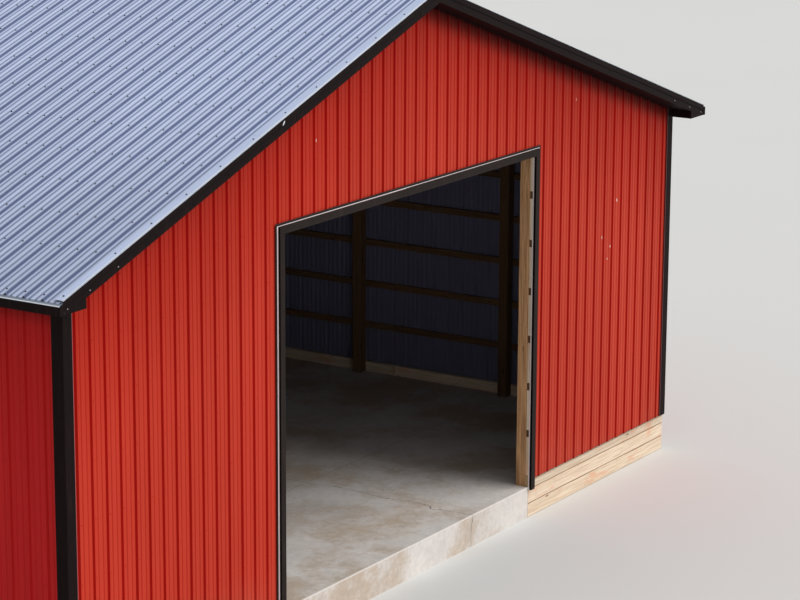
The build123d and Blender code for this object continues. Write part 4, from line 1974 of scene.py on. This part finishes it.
@dataclass
class Fasteners(Assembly):
    """Screws of the steel, nails of the skirt, bolts and toothed plates of the frame."""

    screw: ScrewHead = ScrewHead()
    roof_screw: ScrewHead = ScrewHead(0.0105, 0.003, 0.006, 0.008)
    nail: ScrewHead = ScrewHead(0.0045, 0.0006, 0.00225, 0.0009)
    bolt: ScrewHead = ScrewHead(0.022, 0.003, 0.012, 0.012)
    beside_rib: float = 0.040
    beside_roof_rib: float = 0.060
    foot_row: float = 0.030
    edge_gap: float = 0.035
    door_gap: float = 0.010
    corner_trim: float = 0.13
    rake_screw_step: float = 0.61
    rake_foot_screws: tuple[float, ...] = (0.064, 0.408, 0.848)
    rake_screw_rise: float = -0.088
    flange_screw_in: float = 0.056
    flange_rise: float = 0.0213
    cap_screw_down: float = 0.215
    cap_rise: float = 0.0224
    nail_spread: float = 0.055
    corner_nail: float = 0.09
    half_plate: Point = (0.075, 0.060)
    plate_gauge: float = 0.0008
    half_board: float = 0.019
    heel_plate_in: float = 0.22
    tie_plate_down: float = 0.05
    peak_plate_down: float = 0.09
    joint_places: int = 3
    bolt_spread: float = 0.07

    def build(self) -> list[Object]:
        """Builds all the fasteners.

        Returns:
            One piece for each wall, slope and kind of fastener.
        """
        walls = [self.wall_screws(facing) for facing in (*Gable, *Side)]
        slopes = [self.roof_screws(side) for side in Side]
        rest = [self.trim_screws(), self.skirt_nails(), self.truss_plates(), self.frame_bolts()]
        return walls + slopes + rest

    def spots(self, edge: float, first_rib: float, beside: float, pitch: float) -> list[float]:
        """Places of the screws along a wall or roof, one to each rib.

        Args:
            edge: Both edges of the steel, from the middle.
            first_rib: Centre of one rib.
            beside: How far from the rib the screw stands.
            pitch: Distance between ribs.

        Returns:
            The places.
        """
        first = first_rib + beside
        index = math.ceil((self.edge_gap - edge - first) / pitch)
        found = []
        while first + index * pitch < edge - self.edge_gap:
            found.append(first + index * pitch)
            index += 1
        return found

    def on_gable(self, gable: Gable, across: float, row: float) -> bool:
        """Whether a gable takes a screw at a place.

        Args:
            gable: Front or back.
            across: Place across the gable.
            row: Height.

        Returns:
            Whether it is under the roof, between the corner trims and off the doorway.
        """
        lay, gap = self.layout, self.door_gap
        in_doorway = abs(across) < lay.flashing_edge_x + gap and row < lay.flashing_top + gap
        under_roof = row < lay.gable_top(across) - self.edge_gap
        between_trims = abs(across) < lay.wall_x - self.corner_trim
        return under_roof and between_trims and not (gable is Gable.FRONT and in_doorway)

    def wall_screws(self, facing: Facing) -> Object:
        """Builds the screws of a wall along its foot and its girts.

        Args:
            facing: The wall.

        Returns:
            The piece.
        """
        lay, looks = self.layout, self.finishes
        name = facing.name.lower()
        gable = isinstance(facing, Gable)
        maker = MeshMaker(f"{name}_wall_screws", looks.gable_red if gable else looks.side_red)
        edge = lay.wall_x if gable else lay.wall_y - self.corner_trim
        ribs, first_rib = lay.wall_ribs(facing)
        proud = lay.seat + lay.ribs.gauge
        for row in [lay.steel_bottom + self.foot_row, *levels(f"girts_{name}", 2)]:
            for spot in self.spots(edge, first_rib, self.beside_rib, ribs.pitch):
                if not gable or self.on_gable(facing, spot, row):
                    place = lay.on_wall(facing, spot, row, proud)
                    self.screw.add(maker, place, lay.outward(facing))
        return maker.piece("red_steel", closed=False)

    def roof_screws(self, side: Side) -> Object:
        """Builds the screws of a slope along its purlins, and those of the ridge cap's edge.

        Args:
            side: Left or right.

        Returns:
            The piece.
        """
        lay, screw = self.layout, self.roof_screw
        # The dark roof screws share the finish of the painted shadow under the rake band.
        maker = MeshMaker(f"roof_screws_{side.name.lower()}", self.finishes.gap)
        out = Vector((side.value * lay.sine, 0, lay.cosine))
        edge = lay.roof_end_y - self.flange_screw_in * 2
        pitch, first_rib = lay.ribs.pitch, lay.first_roof_rib
        for solid in solids("purlins_right"):
            down = solid.middle.x / lay.cosine
            if down < self.cap_screw_down + self.edge_gap:
                continue
            for along in self.spots(edge, first_rib, self.beside_roof_rib, pitch):
                screw.add(maker, lay.on_roof(side, down, along, lay.ribs.gauge), out)
            for gable in Gable:
                flange = gable.value * (lay.roof_end_y - self.flange_screw_in)
                screw.add(maker, lay.on_roof(side, down, flange, self.flange_rise), out)
        for along in self.spots(edge, first_rib, 0.0, pitch):
            screw.add(maker, lay.on_roof(side, self.cap_screw_down, along, self.cap_rise), out)
        return maker.piece("roof_steel", closed=False)

    def trim_screws(self) -> Object:
        """Builds the screws in the faces of the rake trims; the lowest ones are bare zinc.

        Returns:
            The piece.
        """
        lay, band, step = self.layout, self.rake_screw_rise, self.rake_screw_step
        maker = MeshMaker("rake_trim_screws", self.finishes.black, self.finishes.zinc)
        for gable in Gable:
            for side in Side:
                reaches = [lay.rake_end_x - back for back in self.rake_foot_screws]
                while reaches[-1] - step > step / 2:
                    reaches.append(reaches[-1] - step)
                for index, reach in enumerate(reaches):
                    point = lay.on_roof(side, lay.down_at(reach, band), 0.0, band)
                    point.y = gable.value * lay.rake_face_y
                    zinc = index < len(self.rake_foot_screws)
                    self.screw.add(maker, point, lay.outward(gable), int(zinc))
        return maker.piece("black_steel", closed=False)

    def skirt_nails(self) -> Object:
        """Builds the nails of the skirt boards at every post, two to a board.

        Returns:
            The piece.
        """
        lay = self.layout
        maker = MeshMaker("skirt_nails", self.finishes.zinc)
        corners = [self.corner_nail - lay.wall_x, lay.wall_x - self.corner_nail]
        front = levels("gable_posts_front", 0) + levels("door_posts", 0) + corners
        back = levels("gable_posts_back", 0) + corners
        spots = [(Gable.FRONT, across) for across in front]
        spots += [(Gable.BACK, across) for across in back]
        spots += [(side, along) for along in levels("side_posts_right", 1) for side in Side]
        for course in levels("skirt_right", 2):
            for offset in (-self.nail_spread, self.nail_spread):
                for facing, spot in spots:
                    place = lay.on_wall(facing, spot, course + offset)
                    self.nail.add(maker, place, lay.outward(facing))
        return maker.piece("grey_trim", closed=False)

    def plate_centres(self) -> list[Spot]:
        """Middles of the truss joints: both ends of each web, the heels, the ties and the peaks.

        Returns:
            The middles, in order.
        """
        joints: set[Spot] = set()
        places = self.joint_places
        for solid in solids("truss_webs"):
            spots = sorted(solid.points, key=lambda spot: spot.z)
            for end in (spots[:2], spots[-2:]):
                middle = sum(end, Vector()) / len(end)
                joints.add((round(middle.x, places), solid.middle.y, round(middle.z, places)))
        for solid in solids("truss_bottom_chords"):
            heel = solid.high.x - self.heel_plate_in
            for across in (-heel, 0.0, heel):
                joints.add((across, solid.middle.y, solid.high.z - self.tie_plate_down))
        for solid in solids("truss_top_chords"):
            if solid.middle.x > 0:
                joints.add((0.0, solid.middle.y, solid.high.z - self.peak_plate_down))
        return sorted(joints)

    def truss_plates(self) -> Object:
        """Builds the toothed plates on both faces of every truss joint.

        Returns:
            The piece.
        """
        maker = MeshMaker("truss_plates", self.finishes.plate)
        half_width, half_height = self.half_plate
        for across, along, height in self.plate_centres():
            for face in (-1, 1):
                skin = along + face * self.half_board
                near, far = sorted((skin, skin + face * self.plate_gauge))
                low = Vector((across - half_width, near, height - half_height))
                maker.block(low, Vector((across + half_width, far, height + half_height)))
        return maker.piece("grey_trim")

    def frame_bolts(self) -> Object:
        """Builds the bolts through the truss carriers into the side posts.

        Returns:
            The piece.
        """
        maker = MeshMaker("carrier_bolts", self.finishes.zinc)
        for carrier in solids("truss_carriers"):
            inward = -1 if carrier.middle.x > 0 else 1
            face = carrier.low.x if inward < 0 else carrier.high.x
            for along in levels("side_posts_right", 1)[1:-1]:
                for offset in (-self.bolt_spread, self.bolt_spread):
                    spot = Vector((face, along, carrier.middle.z + offset))
                    self.bolt.add(maker, spot, Vector((inward, 0, 0)))
        return maker.piece("grey_trim", closed=False)


# Wear


@dataclass
class PaintChips(Assembly):
    """Small flakes off the paint, on the front gable and its rake.

    A spot is (from the left arris, up the steel, half its width, half its height).
    """

    seed: int = 7
    sides: int = 9
    raggedness: float = 0.4
    depths: Point = (0.0002, -0.0004)
    spots: tuple[tuple[float, float, float, float], ...] = (
        (11.30, 3.227, 0.014, 0.034),
        (10.96, 2.797, 0.010, 0.030),
        (11.13, 2.642, 0.012, 0.024),
        (11.09, 2.487, 0.009, 0.018),
        (4.33, 5.05, 0.008, 0.024),
        (10.17, 4.70, 0.008, 0.022),
    )
    smear_x: float = -3.10
    smear_below: float = 0.034
    smear: Point = (0.014, 0.032)
    smear_slant: float = 0.6

    def build(self) -> list[Object]:
        """Builds the flakes and the smear on the rake.

        Returns:
            The one piece.
        """
        lay = self.layout
        dice = random.Random(self.seed)
        maker = MeshMaker("paint_chips", self.finishes.chip, self.finishes.edge)
        for from_left, up, *half in self.spots:
            across = self.flat(from_left - lay.wall_x)
            proud = lay.seat + lay.ribs.gauge
            centre = lay.on_wall(Gable.FRONT, across, lay.steel_bottom + up, proud)
            self.flake(maker, dice, centre, half)
        below = lay.on_roof(Side.LEFT, -self.smear_x / lay.cosine, 0.0, -self.smear_below)
        centre = Vector((self.smear_x, lay.seat - lay.roof_end_y, below.z))
        self.flake(maker, dice, centre, self.smear, self.smear_slant, skin=1)
        return [maker.piece("red_steel")]

    def flat(self, across: float) -> float:
        """Nearest middle of a flat of the gable steel, between one rib and the next.

        Args:
            across: Place across the gable.

        Returns:
            The middle.
        """
        ribs = self.layout.gable_ribs
        pan = across - (across - self.layout.first_gable_rib) % ribs.pitch
        inner = (ribs.base / 2 + ribs.pitch / 3 - ribs.low_base / 2) / 2
        middles = [pan + inner, pan + ribs.pitch / 2, pan + ribs.pitch - inner]
        return min(middles, key=lambda middle: abs(middle - across))

    def flake(
        self, maker: MeshMaker, dice: random.Random, centre: Vector, half: Sequence[float],
        slant: float = 0.0, skin: int = 0,
    ) -> None:
        """Adds one thin ragged plate on a face that looks to the front.

        Args:
            maker: The piece that takes it.
            dice: Source of its ragged edge.
            centre: Its middle.
            half: Half its width and half its height.
            slant: How far it leans to the right for each metre up.
            skin: Its material.
        """
        rings = []
        for depth in self.depths:
            ring = []
            for step in range(self.sides):
                angle = math.tau * step / self.sides
                reach = 1 - self.raggedness + self.raggedness * dice.random()
                up = reach * half[1] * math.sin(angle)
                out = reach * half[0] * math.cos(angle) + slant * up
                ring.append(centre + Vector((out, depth, up)))
            rings.append(ring)
        maker.drum(*rings, skin, closed=True)


# Parts of the frame that keep their shape


@dataclass
class KeptSteel(Assembly):
    """Finishes for the trims, soffits and slab that show as the frame has them."""

    slab_arris: float = 0.006
    slab_arris_steps: int = 2

    def build(self) -> list[Object]:
        """Dresses the kept nodes and eases the slab's edges.

        Returns:
            The dressed nodes.
        """
        looks = self.finishes
        ends = [(gable.name.lower(), side.name.lower()) for gable in Gable for side in Side]
        groups = (
            (looks.black, ["eave_returns_front", "eave_returns_back"]),
            (looks.corner_black, [f"corner_trim_{gable}_{side}" for gable, side in ends]),
            (looks.drip_black, ["eave_trims"]), (looks.grey, ["base_trim"]),
            (looks.door_black, ["door_trim_left", "door_trim_right"]),
            (looks.soffit, ["eave_soffits", "gable_soffits"]),
            (looks.flashing, ["door_flashings"]), (looks.concrete, ["floor_slab"]),
        )
        dressed = []
        for material, nodes in groups:
            for node in nodes:
                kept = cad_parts[node]
                kept.data.materials.clear()
                kept.data.materials.append(material)
                dressed.append(kept)
        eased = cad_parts["floor_slab"].modifiers.new("eased edges", "BEVEL")
        eased.width = self.slab_arris
        eased.segments = self.slab_arris_steps
        eased.limit_method = "ANGLE"
        return dressed


# Studio


@dataclass
class Studio:
    """Pale floor, even sky and one wide soft lamp from the front and the right."""

    floor_half: float = 300.0
    floor_finish: StudioFloor = StudioFloor()
    light: Colour = (1.0, 1.0, 1.0, 1.0)
    backdrop: Colour = (0.93, 0.94, 0.95, 1.0)
    sky_light: float = 0.48
    lamp_strength: float = 2.15
    lamp_turn: float = 32.0
    lamp_height: float = 38.0
    lamp_spread: float = 60.0

    def build(self) -> None:
        """Builds the floor, the sky and the lamp."""
        half = self.floor_half
        corners = [(-half, -half, 0), (half, -half, 0), (half, half, 0), (-half, half, 0)]
        mesh = bpy.data.meshes.new("studio_floor")
        mesh.from_pydata(corners, [], [range(len(corners))])
        mesh.materials.append(self.floor_finish.material())
        floor = bpy.data.objects.new("studio_floor", mesh)
        bpy.context.scene.collection.objects.link(floor)
        self.sky()
        lamp = bpy.data.lights.new("soft lamp", "SUN")
        lamp.energy = self.lamp_strength
        lamp.angle = math.radians(self.lamp_spread)
        holder = bpy.data.objects.new("soft lamp", lamp)
        turn, height = math.radians(self.lamp_turn), math.radians(self.lamp_height)
        level = math.cos(height)
        source = Vector((math.sin(turn) * level, -math.cos(turn) * level, math.sin(height)))
        holder.rotation_euler = source.to_track_quat("Z", "Y").to_euler()
        bpy.context.scene.collection.objects.link(holder)

    def sky(self) -> None:
        """Sets an even sky that lights softly and shows white to the camera and in reflections."""
        graph = Graph("studio sky", sky=True)
        kinds = ("Is Camera Ray", "Is Glossy Ray", "Is Transmission Ray")
        seen, mirrored, passed = (graph.node("ShaderNodeLightPath", output=kind) for kind in kinds)
        shown = seen.at_least(mirrored).at_least(passed)
        light, white = (
            graph.node("ShaderNodeBackground", None, {"Color": colour, "Strength": strength})
            for colour, strength in ((self.light, self.sky_light), (self.backdrop, 1.0))
        )
        both = graph.node("ShaderNodeMixShader", None, {0: shown, 1: light, 2: white})
        graph.node("ShaderNodeOutputWorld", None, {"Surface": both})
        bpy.context.scene.world = graph.owner


@dataclass
class Viewpoint:
    """The camera where the photograph was taken from, over and left of the front gable."""

    lens: float = 126.144
    sensor: float = 36.0
    across: float = -26.727
    before_front: float = 16.651
    height: float = 10.905
    turn: float = 32.246
    tip: float = 13.466
    roll: float = 0.303
    clip_end: float = 1000.0

    def build(self, layout: Layout) -> None:
        """Builds the camera.

        Args:
            layout: The building's planes, for its front wall.
        """
        turn, tip, roll = (math.radians(angle) for angle in (self.turn, self.tip, self.roll))
        reach = math.cos(tip)
        ahead = Vector((math.cos(turn) * reach, math.sin(turn) * reach, -math.sin(tip)))
        level = Vector((math.sin(turn), -math.cos(turn), 0))
        upward = level.cross(ahead)
        right = level * math.cos(roll) + upward * math.sin(roll)
        top = upward * math.cos(roll) - level * math.sin(roll)
        camera = bpy.data.cameras.new("viewpoint")
        camera.lens = self.lens
        camera.sensor_width = self.sensor
        camera.sensor_fit = "HORIZONTAL"
        camera.clip_end = self.clip_end
        holder = bpy.data.objects.new("viewpoint", camera)
        bpy.context.scene.collection.objects.link(holder)
        pose = Matrix((right, top, -ahead)).transposed().to_4x4()
        pose.translation = Vector((self.across, -layout.wall_y - self.before_front, self.height))
        holder.matrix_world = pose
        bpy.context.scene.camera = holder


def main() -> None:
    """Builds the barn piece by piece, then the studio."""
    logging.basicConfig(level=logging.INFO, format="%(name)s: %(message)s")
    bpy.context.scene.view_settings.view_transform = "Standard"
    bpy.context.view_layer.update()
    layout = Layout.from_frame()
    finishes = Finishes(layout)
    kinds = (
        KeptSteel, WallCladding, RoofCladding, RakeTrims, DoorHead, Carpentry, Fasteners,
        PaintChips,
    )
    for kind in kinds:
        for piece in kind(layout, finishes).build():
            LOG.info("%s: %s, %d faces", kind.__name__, piece.name, len(piece.data.polygons))
    Studio().build()
    Viewpoint().build(layout)


if __name__ == "__main__":
    main()
